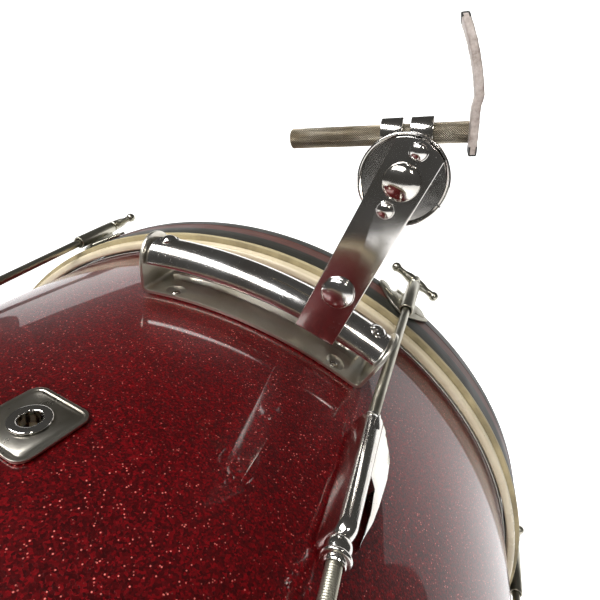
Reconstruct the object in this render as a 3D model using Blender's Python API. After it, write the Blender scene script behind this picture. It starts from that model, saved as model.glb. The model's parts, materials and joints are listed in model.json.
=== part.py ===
"""Bass drum, twenty inches across and fourteen deep, with six lugs a side and a tilting tom holder on a rail.

The drum lies on its side as it is played. Y is its axis, with the front head at -Y and the beater's
head at +Y, +Z is up, and the origin is on the floor under the middle of the drum. Sizes are in metres.
"""

import math

import bmesh
import bpy
from mathutils import Matrix, Vector

# Shell and heads
SHELL_DIAMETER = 0.508
SHELL_DEPTH = 0.3556
SHELL_WALL = 0.0064
HEAD_THICKNESS = 0.0005
GAP = 0.0003

# Hoops
FLESH_HOOP_CLEARANCE = 0.0012
FLESH_HOOP_THICKNESS = 0.0063
FLESH_HOOP_WIDTH = 0.0078
HOOP_CLEARANCE = 0.0022
HOOP_THICKNESS = 0.0098
HOOP_WIDTH = 0.040
HEAD_RECESS = 0.0087
HOOP_EDGE = 0.0012

# Lugs and tension rods
LUG_COUNT = 6
FIRST_LUG_ANGLE = 30
LUG_LENGTH = 0.071
LUG_WIDTH = 0.012
LUG_HEIGHT = 0.0185
LUG_FIN_REACH = 0.0175
LUG_FIN_HEIGHT = 0.0085
LUG_NOSE = 0.0045
SWIVEL_NUT_DIAMETER = 0.0115
SWIVEL_NUT_LENGTH = 0.006
SWIVEL_NUT_ROOT = 0.004
ROD_DIAMETER = 0.006
ROD_HEIGHT_AT_LUG = 0.01166
ROD_LIFT = 0.01134
ROD_INSERTION = 0.013
ROD_BORE_CLEARANCE = 0.0006
HANDLE_STANDOFF = 0.015
HANDLE_SPAN = 0.0448
HANDLE_BALL = 0.0076
HANDLE_HUB = 0.009

# Claws
CLAW_TUBE_DIAMETER = 0.0098
CLAW_TUBE_LENGTH = 0.044
CLAW_TUBE_FRONT = 0.007
CLAW_SPAN = 0.047
CLAW_REACH = 0.030
CLAW_PLATE = 0.0024
CLAW_LIP_HEIGHT = 0.0085
CLAW_LIP_SPAN = 0.026

# Vent and its badge
VENT_ANGLE = -4.2
VENT_OFFSET = 0.0475
VENT_BORE = 0.010
VENT_FLANGE = 0.0155
BADGE_WIDTH = 0.030
BADGE_CORNER_RADIUS = 0.005
BADGE_THICKNESS = 0.0012
BADGE_TURN = -9

# Rail of the tom holder
RAIL_START_ANGLE = -28.5
RAIL_END_ANGLE = 2.9
RAIL_SETBACK = 0.0359
RAIL_PLATE_WIDTH = 0.040
RAIL_STEP_WIDTH = 0.020
RAIL_PLATE_THICKNESS = 0.0026
RAIL_STEP_HEIGHT = 0.0072
RAIL_END_THICKNESS = 0.0018
RAIL_BAR_RADIUS = 0.013
RAIL_BAR_HEIGHT = 0.017
RAIL_BAR_INSET = 0.0030
RAIL_END_RISE = 0.003
RAIL_SCREW_INSET = 1.9
RAIL_SCREW_HEAD = 0.009
RAIL_SCREW_SHANK = 0.004
RAIL_BASE_HOLE_INSET = 4.2
RAIL_BASE_HOLE = 0.0045
RAIL_SCREW_SEAT_DEPTH = 0.0012
RAIL_SCREW_SEAT_CLEARANCE = 0.0012

# Holder arm, its clamp and the tilting head
ARM_ANGLE = -20.3
ARM_WIDTH = 0.023
ARM_THICKNESS = 0.0028
HOOK_DEPTH = 0.012
HOOK_CLEARANCE = 0.0006
JAW_HEIGHT = 0.040
CLAMP_BOLT_RISE = 0.0135
CLAMP_BOLT_HEAD = 0.0176
CLAMP_BOLT_SHANK = 0.006
CLAMP_NUT = 0.012
CLAMP_NUT_HEIGHT = 0.0055
CLAMP_NUT_BEVEL = 0.001
PIVOT_RISE = 0.0755
DISC_RADIUS = 0.0207
DISC_THICKNESS = 0.004
DISC_RIM = 0.0016
ARM_TOP_MARGIN = 0.0017
PIVOT_BOLT_HEAD = 0.0175
PIVOT_BOLT_SHANK = 0.006
DISC_SCREW_SPACING = 0.0142
DISC_SCREW_HEAD = 0.009
DISC_SCREW_SHANK = 0.0035

# Clip, knurled rod and tom plate
CLIP_DISC_RADIUS = 0.0195
CLIP_DISC_THICKNESS = 0.0042
KNURLED_ROD_DIAMETER = 0.0095
KNURLED_ROD_RISE = 0.0185
KNURLED_ROD_OFFSET = 0.0085
KNURLED_ROD_FREE_END = 0.0562
KNURLED_ROD_PLATE_END = 0.0265
KNURLED_ROD_SLOPE = 8.4
CLIP_LOOP_WIDTH = 0.010
CLIP_LOOP_PITCH = 0.0134
CLIP_LOOP_WALL = 0.0024
CLIP_TAB_START = 0.006
TOM_PLATE_THICKNESS = 0.0035
TOM_PLATE_WIDTH = 0.022
TOM_PLATE_BELOW = 0.0095
TOM_PLATE_ABOVE = 0.045
TOM_PLATE_JOG = 0.001
TOM_PLATE_LEAN = 0.0073
TOM_PLATE_BULGE = 0.0012
TOM_PLATE_CRANK_START = 0.004
TOM_PLATE_CRANK_LENGTH = 0.006

# Folding spurs
SPUR_ANGLE = 120
SPUR_SETBACK = 0.0342
SPUR_PIVOT_RISE = 0.020
SPUR_LEG_DIAMETER = 0.0095
SPUR_SPLAY = Vector((0.45, -0.25, -0.857))
SPUR_EYE_DIAMETER = 0.018
SPUR_EYE_WIDTH = 0.010
SPUR_PIN_DIAMETER = 0.006
SPUR_BOSS_DIAMETER = 0.017
SPUR_BOSS_WIDTH = 0.012
SPUR_PLATE_WIDTH = 0.030
SPUR_PLATE_LENGTH = 0.044
SPUR_PLATE_THICKNESS = 0.004
SPUR_FOOT_DIAMETER = 0.017
SPUR_FOOT_LENGTH = 0.024
SPUR_FOOT_BEVEL = 0.003
SPUR_FOOT_TAPER = 0.004
SPUR_FOOT_TIP = 0.6
SPUR_POST_WIDTH = 0.010
SPUR_PIN_SPARE = 0.003
WING_NUT_HUB = 0.011
WING_NUT_LENGTH = 0.009
WING_SPAN = 0.030
WING_THICKNESS = 0.003
WING_RISE = 0.003
WING_TIP = 0.005

# Facets
RING_STEPS = 72
RAIL_STEPS = 14
ROUND_STEPS = 16
DISC_STEPS = 24
SMALL_STEPS = 12
ROD_STEPS = 10

# How far shapes that are joined reach into each other
OVERLAP = 0.001
OVERLAP_DEGREES = 0.02

# Values that follow from the sizes above
SHELL_RADIUS = SHELL_DIAMETER / 2
SHELL_HALF = SHELL_DEPTH / 2
COLLAR_INNER = SHELL_RADIUS + GAP
COLLAR_OUTER = COLLAR_INNER + HEAD_THICKNESS
FLESH_INNER = COLLAR_OUTER + FLESH_HOOP_CLEARANCE
FLESH_OUTER = FLESH_INNER + FLESH_HOOP_THICKNESS
HOOP_INNER = SHELL_RADIUS + HOOP_CLEARANCE
HOOP_OUTER = HOOP_INNER + HOOP_THICKNESS
HEAD_OUTSIDE = SHELL_HALF + GAP + HEAD_THICKNESS
HOOP_FRONT = HEAD_OUTSIDE + HEAD_RECESS
HOOP_BACK = HOOP_FRONT - HOOP_WIDTH
FLESH_BACK = HOOP_BACK - GAP - FLESH_HOOP_WIDTH
RAIL_PLATE_NEAR = RAIL_SETBACK + RAIL_PLATE_WIDTH - FLESH_BACK
SPUR_OFFSET = FLESH_BACK - SPUR_SETBACK
AXIS_HEIGHT = HOOP_OUTER
LUG_HALF = LUG_LENGTH / 2
LUG_PITCH = 360 / LUG_COUNT
ROD_START_RADIUS = SHELL_RADIUS + ROD_HEIGHT_AT_LUG
HANDLE_PLANE = HOOP_FRONT + HANDLE_STANDOFF
ROD_RUN = HANDLE_PLANE - LUG_HALF
ROD_TILT = math.atan2(ROD_LIFT, ROD_RUN)
ROD_LENGTH = math.hypot(ROD_LIFT, ROD_RUN)
ROD_BORE = ROD_DIAMETER + 2 * ROD_BORE_CLEARANCE
CENTRE = Vector((0, 0, AXIS_HEIGHT))

# Finishes: colour, roughness, metallic
SHELL_LACQUER = ("shell_lacquer", (0.16, 0.004, 0.008), 0.18, 0.0)
HOOP_LACQUER = ("hoop_lacquer", (0.035, 0.033, 0.028), 0.35, 0.0)
FLESH_HOOP_PAINT = ("flesh_hoop_paint", (0.70, 0.60, 0.40), 0.45, 0.0)
HEAD_FILM = ("head_film", (0.80, 0.78, 0.72), 0.40, 0.0)
CHROME = ("chrome", (0.72, 0.71, 0.68), 0.08, 1.0)
DULL_NICKEL = ("dull_nickel", (0.42, 0.40, 0.33), 0.30, 1.0)
AGED_NICKEL = ("aged_nickel", (0.40, 0.35, 0.26), 0.38, 1.0)
RAW_CASTING = ("raw_casting", (0.52, 0.46, 0.42), 0.55, 0.8)
BADGE_METAL = ("badge_metal", (0.45, 0.42, 0.36), 0.35, 1.0)


def clear_scene():
    for obj in list(bpy.data.objects):
        bpy.data.objects.remove(obj, do_unlink=True)


def material_for(finish):
    name, colour, roughness, metallic = finish
    material = bpy.data.materials.get(name)
    if material is None:
        material = bpy.data.materials.new(name)
        material.use_nodes = True
        shader = material.node_tree.nodes["Principled BSDF"]
        shader.inputs["Base Color"].default_value = (*colour, 1)
        shader.inputs["Roughness"].default_value = roughness
        shader.inputs["Metallic"].default_value = metallic
    return material


def place(name, mesh, finish, matrix=None):
    """One named sub-part, with its finish, shaded smooth up to its real edges."""
    obj = bpy.data.objects.new(name, mesh)
    bpy.context.scene.collection.objects.link(obj)
    if not mesh.materials:
        mesh.materials.append(material_for(finish))
    mesh.shade_smooth()
    mesh.set_sharp_from_angle(angle=math.radians(35))
    if matrix is not None:
        obj.matrix_world = matrix
    return obj


def mesh_from(bm, name):
    bmesh.ops.remove_doubles(bm, verts=bm.verts, dist=1e-6)
    bmesh.ops.recalc_face_normals(bm, faces=bm.faces)
    mesh = bpy.data.meshes.new(name)
    bm.to_mesh(mesh)
    bm.free()
    return mesh


def turned(name, profile, steps, closed=False):
    """A profile of (radius, height) turned about Z; an open profile starts and ends on the axis."""
    bm = bmesh.new()
    verts = [bm.verts.new((radius, 0, height)) for radius, height in profile]
    ends = list(zip(verts, verts[1:]))
    if closed:
        ends.append((verts[-1], verts[0]))
    edges = [bm.edges.new(pair) for pair in ends]
    bmesh.ops.spin(
        bm, geom=verts + edges, cent=(0, 0, 0), axis=(0, 0, 1), angle=math.tau, steps=steps, use_merge=True
    )
    return mesh_from(bm, name)


def prism(name, outline, low, high):
    """An outline in XY raised from one height to another."""
    bm = bmesh.new()
    face = bm.faces.new([bm.verts.new((x, y, low)) for x, y in outline])
    raised = bmesh.ops.extrude_face_region(bm, geom=[face])
    top = [item for item in raised["geom"] if isinstance(item, bmesh.types.BMVert)]
    bmesh.ops.translate(bm, verts=top, vec=(0, 0, high - low))
    return mesh_from(bm, name)


def box(name, low, high):
    outline = [(low[0], low[1]), (high[0], low[1]), (high[0], high[1]), (low[0], high[1])]
    return prism(name, outline, low[2], high[2])


def cylinder(name, radius, low, high, steps=ROUND_STEPS):
    return turned(name, [(0, low), (radius, low), (radius, high), (0, high)], steps)


def swept(name, section, start, end, steps):
    """A closed section of (radius, y) carried round the drum's axis between two angles from the top."""
    bm = bmesh.new()
    turn = Matrix.Rotation(math.radians(start), 3, "Y")
    face = bm.faces.new([bm.verts.new(turn @ Vector((0, y, radius))) for radius, y in section])
    sweep = math.radians(end - start)
    bmesh.ops.spin(bm, geom=[face], cent=(0, 0, 0), axis=(0, 1, 0), angle=sweep, steps=steps)
    bmesh.ops.translate(bm, verts=bm.verts, vec=CENTRE)
    return mesh_from(bm, name)


def combine(base, others, operation="DIFFERENCE"):
    """The mesh of a base mesh joined with, or cut by, others given as (mesh, matrix)."""
    target = bpy.data.objects.new("target", base)
    bpy.context.scene.collection.objects.link(target)
    helpers = []
    for mesh, matrix in others:
        helper = bpy.data.objects.new("helper", mesh)
        bpy.context.scene.collection.objects.link(helper)
        helper.matrix_world = matrix
        helpers.append(helper)
        modifier = target.modifiers.new("combine", "BOOLEAN")
        modifier.operation = operation
        modifier.object = helper
    graph = bpy.context.evaluated_depsgraph_get()
    result = bpy.data.meshes.new_from_object(target.evaluated_get(graph))
    for obj in [target, *helpers]:
        bpy.data.objects.remove(obj, do_unlink=True)
    return result


def basis(origin, x, y, z):
    matrix = Matrix((x, y, z)).transposed().to_4x4()
    matrix.translation = origin
    return matrix


def radial(angle):
    """The outward direction at an angle from the top, positive towards +X."""
    return Vector((math.sin(math.radians(angle)), 0, math.cos(math.radians(angle))))


def on_drum(angle, radius, y):
    return CENTRE + radial(angle) * radius + Vector((0, y, 0))


def seat(angle, radius, y, side=1):
    """A frame on the drum: X round it, Y along it towards the head on that side, Z outward."""
    out = radial(angle)
    along = Vector((0, side, 0))
    return basis(on_drum(angle, radius, y), along.cross(out), along, out)


def rod_frame(angle, side):
    """A tension rod's frame: Z runs from the lug's end to the handle."""
    out = radial(angle)
    along = Vector((0, side, 0))
    aim = (along * math.cos(ROD_TILT) + out * math.sin(ROD_TILT)).normalized()
    across = along.cross(out)
    return basis(on_drum(angle, ROD_START_RADIUS, side * LUG_HALF), across, aim.cross(across), aim)


def lug_angles():
    return [FIRST_LUG_ANGLE + index * LUG_PITCH for index in range(LUG_COUNT)]


def axis_ring(name, section, steps=RING_STEPS):
    """A closed ring about the drum's axis, from a section of (radius, y)."""
    mesh = turned(name, [(radius, -y) for radius, y in section], steps, closed=True)
    mesh.transform(Matrix.Translation(CENTRE) @ Matrix.Rotation(math.radians(90), 4, "X"))
    return mesh


def mirrored_ring(section, side):
    return [(radius, side * y) for radius, y in section]


def through_hole(angle, y, diameter):
    """A cutter through the shell's wall."""
    return (
        cylinder("cutter", diameter / 2, -SHELL_WALL * 2, SHELL_WALL * 2),
        seat(angle, SHELL_RADIUS, y),
    )


def build_shell():
    inner = SHELL_RADIUS - SHELL_WALL
    bevel = SHELL_WALL * 0.6
    section = [
        (SHELL_RADIUS, -SHELL_HALF + bevel / 3),
        (SHELL_RADIUS - bevel / 3, -SHELL_HALF),
        (inner, -SHELL_HALF + bevel),
        (inner, SHELL_HALF - bevel),
        (SHELL_RADIUS - bevel / 3, SHELL_HALF),
        (SHELL_RADIUS, SHELL_HALF - bevel / 3),
    ]
    mesh = axis_ring("shell", section)
    mesh = combine(mesh, [through_hole(VENT_ANGLE, VENT_OFFSET, VENT_BORE + 2 * GAP)])
    place("shell", mesh, SHELL_LACQUER)


def build_head_side(name, side):
    """Head, flesh hoop and counter hoop of one side."""
    film = [
        (0, HEAD_OUTSIDE),
        (COLLAR_OUTER, HEAD_OUTSIDE),
        (COLLAR_OUTER, FLESH_BACK),
        (COLLAR_INNER, FLESH_BACK),
        (COLLAR_INNER, HEAD_OUTSIDE - HEAD_THICKNESS),
        (0, HEAD_OUTSIDE - HEAD_THICKNESS),
    ]
    mesh = turned(name + "_head", [(radius, -side * y) for radius, y in film], RING_STEPS)
    mesh.transform(Matrix.Translation(CENTRE) @ Matrix.Rotation(math.radians(90), 4, "X"))
    place(name + "_head", mesh, HEAD_FILM)

    flesh = [
        (FLESH_INNER, HOOP_BACK - GAP),
        (FLESH_OUTER, HOOP_BACK - GAP),
        (FLESH_OUTER - FLESH_HOOP_THICKNESS / 6, FLESH_BACK),
        (FLESH_INNER, FLESH_BACK),
    ]
    mesh = axis_ring(name + "_flesh_hoop", mirrored_ring(flesh, side))
    place(name + "_flesh_hoop", mesh, FLESH_HOOP_PAINT)

    hoop = [
        (HOOP_INNER, HOOP_BACK),
        (HOOP_OUTER, HOOP_BACK),
        (HOOP_OUTER, HOOP_FRONT - HOOP_EDGE),
        (HOOP_OUTER - HOOP_EDGE, HOOP_FRONT),
        (HOOP_INNER, HOOP_FRONT),
    ]
    mesh = axis_ring(name + "_hoop", mirrored_ring(hoop, side))
    place(name + "_hoop", mesh, HOOP_LACQUER)


def rod_bore(angle, side, frame, start, end):
    """A cutter along a tension rod, in the frame of the piece that it passes through."""
    mesh = cylinder("bore", ROD_BORE / 2, start, end, SMALL_STEPS)
    return mesh, frame.inverted() @ rod_frame(angle, side)


def lug_mesh():
    """A casting with a tall spine, one side fin that ends in a point, and a swivel nut at each end."""
    angle = lug_angles()[0]
    frame = seat(angle, SHELL_RADIUS, 0)
    half = LUG_WIDTH / 2
    outline = [
        (-LUG_HALF, GAP),
        (LUG_HALF, GAP),
        (LUG_HALF, LUG_HEIGHT - LUG_NOSE),
        (LUG_HALF - LUG_NOSE, LUG_HEIGHT),
        (LUG_NOSE - LUG_HALF, LUG_HEIGHT),
        (-LUG_HALF, LUG_HEIGHT - LUG_NOSE),
    ]
    spine = prism("spine", outline, -half, half)
    spine.transform(Matrix(((0, 0, 1, 0), (1, 0, 0, 0), (0, 1, 0, 0), (0, 0, 0, 1))))
    fin_outline = [
        (0, -0.96 * LUG_HALF),
        (-0.80 * LUG_FIN_REACH, -0.92 * LUG_HALF),
        (-LUG_FIN_REACH, -0.76 * LUG_HALF),
        (-0.97 * LUG_FIN_REACH, -0.42 * LUG_HALF),
        (-0.86 * LUG_FIN_REACH, 0.05 * LUG_HALF),
        (-0.62 * LUG_FIN_REACH, 0.66 * LUG_HALF),
        (-0.57 * LUG_FIN_REACH, 0.30 * LUG_HALF),
        (-0.50 * LUG_FIN_REACH, 0.02 * LUG_HALF),
        (0, -0.14 * LUG_HALF),
    ]
    fin = prism("fin", fin_outline, GAP * 2, LUG_FIN_HEIGHT)
    parts = [(fin, Matrix())]
    cutters = []
    for side in (-1, 1):
        to_lug = frame.inverted() @ rod_frame(angle, side)
        nut = cylinder("nut", SWIVEL_NUT_DIAMETER / 2, -SWIVEL_NUT_ROOT, SWIVEL_NUT_LENGTH, SMALL_STEPS)
        parts.append((nut, to_lug))
        cutters.append(rod_bore(angle, side, frame, -ROD_INSERTION - OVERLAP, 2 * SWIVEL_NUT_LENGTH))
    mesh = combine(spine, parts, "UNION")
    return combine(mesh, cutters)


def build_lugs():
    mesh = lug_mesh()
    for number, angle in enumerate(lug_angles(), 1):
        place(f"lug_{number}", mesh, CHROME, seat(angle, SHELL_RADIUS, 0))


def tension_rod_mesh():
    """A plain rod whose handle is a crossbar with a ball at each end."""
    shaft_top = ROD_LENGTH - 0.007
    profile = [
        (0, -ROD_INSERTION),
        (ROD_DIAMETER / 2, -ROD_INSERTION),
        (ROD_DIAMETER / 2, shaft_top),
        (HANDLE_HUB / 2, shaft_top),
        (HANDLE_HUB / 2, ROD_LENGTH + 0.0035),
        (HANDLE_HUB / 4, ROD_LENGTH + 0.005),
        (0, ROD_LENGTH + 0.005),
    ]
    shaft = turned("shaft", profile, ROD_STEPS)
    end = HANDLE_SPAN / 2
    ball = HANDLE_BALL / 2
    neck = ball * 0.6
    half_bar = [(neck, end - ball), (ball, end), (0, end + ball)]
    bar = [(x, -y) for x, y in reversed(half_bar)] + half_bar
    handle = turned("handle", bar, 8)
    turn = Matrix.Translation((0, 0, ROD_LENGTH)) @ Matrix.Rotation(math.radians(90), 4, "Y")
    return combine(shaft, [(handle, turn)], "UNION")


def claw_mesh():
    """A winged claw: a curved plate on the hoop, a lip over its face and a tube for the rod."""
    angle = lug_angles()[0]
    frame = seat(angle, HOOP_OUTER, HOOP_FRONT)
    lip_out = GAP + CLAW_PLATE
    half = CLAW_SPAN / 2
    right = [
        (0.13, -1.00),
        (0.30, -0.93),
        (0.62, -0.66),
        (0.92, -0.38),
        (1.00, -0.16),
        (0.90, -0.02),
    ]
    right = [(x * half, y * CLAW_REACH) for x, y in right]
    right += [(CLAW_LIP_SPAN / 2, lip_out)]
    outline = right + [(-x, y) for x, y in reversed(right)]
    bm = bmesh.new()
    face = bm.faces.new([bm.verts.new((x, y, 0)) for x, y in outline])
    for x in (-0.55, -0.18, 0.18, 0.55):
        geom = list(bm.verts) + list(bm.edges) + list(bm.faces)
        bmesh.ops.bisect_plane(bm, geom=geom, plane_co=(x * half, 0, 0), plane_no=(1, 0, 0))
    raised = bmesh.ops.extrude_face_region(bm, geom=list(bm.faces))
    top = {item for item in raised["geom"] if isinstance(item, bmesh.types.BMVert)}
    for vert in bm.verts:
        bend = math.asin(vert.co.x / HOOP_OUTER)
        lift = GAP + (CLAW_PLATE if vert in top else 0)
        vert.co.z = (HOOP_OUTER + lift) * math.cos(bend) - HOOP_OUTER
    plate = mesh_from(bm, "claw")
    lip = box(
        "lip", (-CLAW_LIP_SPAN / 2, GAP, -CLAW_LIP_HEIGHT), (CLAW_LIP_SPAN / 2, lip_out, lip_out - 0.0006)
    )
    to_claw = frame.inverted() @ rod_frame(angle, 1)
    tube_end = (HOOP_FRONT + CLAW_TUBE_FRONT - LUG_HALF) / math.cos(ROD_TILT)
    tube_start = tube_end - CLAW_TUBE_LENGTH
    tube = cylinder("tube", CLAW_TUBE_DIAMETER / 2, tube_start, tube_end, SMALL_STEPS)
    web = box(
        "web", (-CLAW_TUBE_DIAMETER / 4, -0.9 * CLAW_REACH, 0.001), (CLAW_TUBE_DIAMETER / 4, lip_out, 0.0075)
    )
    mesh = combine(plate, [(lip, Matrix()), (web, Matrix()), (tube, to_claw)], "UNION")
    return combine(mesh, [rod_bore(angle, 1, frame, tube_start - 0.01, tube_end + 0.01)])


def build_tension():
    """Twelve tension rods, each with its claw, six to each head."""
    rod = tension_rod_mesh()
    claw = claw_mesh()
    for name, side in (("front", -1), ("batter", 1)):
        for number, angle in enumerate(lug_angles(), 1):
            place(f"tension_rod_{name}_{number}", rod, DULL_NICKEL, rod_frame(angle, side))
            claw_seat = seat(angle, HOOP_OUTER, side * HOOP_FRONT, side)
            place(f"claw_{name}_{number}", claw, DULL_NICKEL, claw_seat)


def build_vent():
    """A plain square badge with round corners, held to the shell by the air vent's grommet."""
    centre = BADGE_WIDTH / 2 - BADGE_CORNER_RADIUS
    outline = []
    for corner in range(4):
        for bend in (0, 45, 90):
            spot = Matrix.Rotation(math.radians(bend), 2) @ Vector((BADGE_CORNER_RADIUS, 0))
            outline.append(Matrix.Rotation(math.radians(90 * corner), 2) @ (spot + Vector((centre, centre))))
    badge = prism("badge", outline, GAP, GAP + BADGE_THICKNESS)
    hole = cylinder("hole", VENT_BORE / 2 + 0.0004, -0.01, 0.01)
    badge = combine(badge, [(hole, Matrix())])
    turn = Matrix.Rotation(math.radians(BADGE_TURN), 4, "Z")
    place("badge", badge, BADGE_METAL, seat(VENT_ANGLE, SHELL_RADIUS, VENT_OFFSET) @ turn)

    flange_low = GAP * 2 + BADGE_THICKNESS
    wall = 0.0008
    inner_end = -SHELL_WALL - GAP * 4
    grommet = [
        (VENT_BORE / 2 - wall, inner_end - 0.001),
        (VENT_FLANGE / 2, inner_end - 0.001),
        (VENT_FLANGE / 2, inner_end),
        (VENT_BORE / 2, inner_end),
        (VENT_BORE / 2, flange_low),
        (VENT_FLANGE / 2, flange_low),
        (VENT_FLANGE / 2 - 0.001, flange_low + 0.001),
        (VENT_BORE / 2 - wall, flange_low + 0.001),
    ]
    mesh = turned("vent_grommet", grommet, ROUND_STEPS, closed=True)
    place("vent_grommet", mesh, CHROME, seat(VENT_ANGLE, SHELL_RADIUS, VENT_OFFSET))


# The rail's places that its own pieces and the arm share
RAIL_FLOOR = SHELL_RADIUS + GAP * 1.5
RAIL_BAR_UNDER = SHELL_RADIUS + RAIL_BAR_HEIGHT
RAIL_BAR_TOP = RAIL_BAR_UNDER + RAIL_BAR_RADIUS
RAIL_BAR_CENTRE = RAIL_PLATE_NEAR - RAIL_BAR_INSET - RAIL_BAR_RADIUS
RAIL_END_DEGREES = math.degrees(RAIL_END_THICKNESS / SHELL_RADIUS)
RAIL_GAP_DEGREES = math.degrees(GAP / SHELL_RADIUS)

# The holder's planes along the drum's axis, from the beater's side to the front
ARM_BACK = RAIL_BAR_CENTRE + RAIL_BAR_RADIUS + GAP
ARM_FRONT = ARM_BACK + ARM_THICKNESS
JAW_FACE = RAIL_BAR_CENTRE - RAIL_BAR_RADIUS - GAP
JAW_BACK = JAW_FACE - ARM_THICKNESS
DISC_FACE = ARM_BACK - GAP
DISC_BACK = DISC_FACE - DISC_THICKNESS
CLIP_FACE = DISC_BACK - GAP
CLIP_BACK = CLIP_FACE - CLIP_DISC_THICKNESS
CLIP_BORE = KNURLED_ROD_DIAMETER / 2 + GAP
CLIP_OUTER = CLIP_BORE + CLIP_LOOP_WALL
ROD_PLANE = CLIP_BACK - KNURLED_ROD_OFFSET
HOOK_TOP = math.sqrt(RAIL_BAR_UNDER**2 - (ARM_WIDTH / 2) ** 2) - HOOK_CLEARANCE
HOOK_BOTTOM = HOOK_TOP - ARM_THICKNESS
CLAMP_BOLT_RADIUS = RAIL_BAR_TOP + CLAMP_BOLT_RISE
PIVOT_RADIUS = RAIL_BAR_TOP + PIVOT_RISE


def rail_screw_angles():
    inset = RAIL_END_DEGREES + RAIL_SCREW_INSET
    return {"left": RAIL_END_ANGLE - inset, "right": RAIL_START_ANGLE + inset}


def build_rail():
    """A stepped plate with two end walls, which carries a half-round bar clear of it."""
    far = RAIL_PLATE_NEAR - RAIL_PLATE_WIDTH
    step = RAIL_PLATE_NEAR - RAIL_STEP_WIDTH
    plate_top = RAIL_FLOOR + RAIL_PLATE_THICKNESS
    step_top = RAIL_FLOOR + RAIL_STEP_HEIGHT
    section = [
        (RAIL_FLOOR, far),
        (step_top, far),
        (step_top, step),
        (plate_top, step),
        (plate_top, RAIL_PLATE_NEAR),
        (RAIL_FLOOR, RAIL_PLATE_NEAR),
    ]
    base = swept("rail_base", section, RAIL_START_ANGLE, RAIL_END_ANGLE, RAIL_STEPS)
    wall_radius = RAIL_PLATE_NEAR - RAIL_BAR_CENTRE
    wall = [(RAIL_FLOOR, RAIL_PLATE_NEAR), (RAIL_BAR_UNDER, RAIL_PLATE_NEAR)]
    for turn in range(30, 180, 30):
        bend = math.radians(turn)
        reach = wall_radius - (wall_radius - RAIL_BAR_RADIUS - RAIL_END_RISE) * math.sin(bend)
        wall.append((RAIL_BAR_UNDER + reach * math.sin(bend), RAIL_BAR_CENTRE + reach * math.cos(bend)))
    wall += [
        (RAIL_BAR_UNDER, RAIL_BAR_CENTRE - wall_radius),
        (RAIL_FLOOR, RAIL_BAR_CENTRE - wall_radius),
    ]
    pedestal_near = ARM_FRONT - HOOK_DEPTH - GAP
    pedestal_far = JAW_BACK + HOOK_DEPTH + GAP
    pedestal = [
        (RAIL_FLOOR + OVERLAP, pedestal_near),
        (RAIL_BAR_UNDER - GAP, pedestal_near),
        (RAIL_BAR_UNDER - GAP, pedestal_far),
        (RAIL_FLOOR + OVERLAP, pedestal_far),
    ]
    added = []
    pedestal_sweep = RAIL_END_DEGREES + 2 * RAIL_SCREW_INSET
    for end, side in ((RAIL_START_ANGLE, 1), (RAIL_END_ANGLE, -1)):
        span = sorted((end - side * OVERLAP_DEGREES, end + side * RAIL_END_DEGREES))
        added.append((swept("wall", wall, *span, 1), Matrix()))
        span = sorted((end + side * 4 * OVERLAP_DEGREES, end + side * pedestal_sweep))
        added.append((swept("pedestal", pedestal, *span, 2), Matrix()))
    holes = []
    for angle in rail_screw_angles().values():
        shank = cylinder("hole", RAIL_SCREW_SHANK / 2 + GAP, RAIL_FLOOR + 0.003, RAIL_BAR_TOP, SMALL_STEPS)
        holes.append((shank, seat(angle, 0, RAIL_BAR_CENTRE)))
    for angle in (RAIL_START_ANGLE + RAIL_BASE_HOLE_INSET, RAIL_END_ANGLE - RAIL_BASE_HOLE_INSET):
        y = RAIL_PLATE_NEAR - RAIL_STEP_WIDTH * 0.36
        low = RAIL_FLOOR - 2 * OVERLAP
        hole = cylinder("hole", RAIL_BASE_HOLE / 2, low, plate_top + 2 * OVERLAP, SMALL_STEPS)
        holes.append((hole, seat(angle, 0, y)))
    base = combine(combine(base, added, "UNION"), holes)
    place("rail_base", base, CHROME)

    bar = []
    for turn in range(0, 181, 30):
        bend = math.radians(turn)
        bar.append(
            (
                RAIL_BAR_UNDER + RAIL_BAR_RADIUS * math.sin(bend),
                RAIL_BAR_CENTRE + RAIL_BAR_RADIUS * math.cos(bend),
            )
        )
    inset = RAIL_END_DEGREES + RAIL_GAP_DEGREES
    mesh = swept("rail_bar", bar, RAIL_START_ANGLE + inset, RAIL_END_ANGLE - inset, RAIL_STEPS)
    spot = RAIL_BAR_TOP - RAIL_SCREW_SEAT_DEPTH
    seat_radius = RAIL_SCREW_HEAD / 2 + RAIL_SCREW_SEAT_CLEARANCE
    cutters = []
    for angle in rail_screw_angles().values():
        profile = [
            (0, RAIL_BAR_UNDER - 2 * OVERLAP),
            (RAIL_SCREW_SHANK / 2 + GAP, RAIL_BAR_UNDER - 2 * OVERLAP),
            (RAIL_SCREW_SHANK / 2 + GAP, spot),
            (seat_radius, spot),
            (seat_radius, RAIL_BAR_TOP + 2 * OVERLAP),
            (0, RAIL_BAR_TOP + 2 * OVERLAP),
        ]
        cutters.append((turned("cutter", profile, SMALL_STEPS), seat(angle, 0, RAIL_BAR_CENTRE)))
    place("rail_bar", combine(mesh, cutters), CHROME)

    head = RAIL_SCREW_HEAD / 2
    low = spot + GAP
    screw = [
        (0, RAIL_FLOOR + 0.0035),
        (RAIL_SCREW_SHANK / 2, RAIL_FLOOR + 0.0035),
        (RAIL_SCREW_SHANK / 2, low),
        (head, low),
        (head * 0.95, low + 0.0012),
        (head * 0.6, low + 0.0028),
        (0, low + 0.0035),
    ]
    mesh = turned("rail_screw", screw, SMALL_STEPS)
    for name, angle in rail_screw_angles().items():
        place("rail_screw_" + name, mesh, CHROME, seat(angle, 0, RAIL_BAR_CENTRE))


def arm_frame(radius, y=0.0):
    """X across the arm, Y out along it, Z along the drum's axis towards the beater's side."""
    out = radial(ARM_ANGLE)
    along = Vector((0, 1, 0))
    return basis(on_drum(ARM_ANGLE, radius, y), out.cross(along), out, along)


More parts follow.
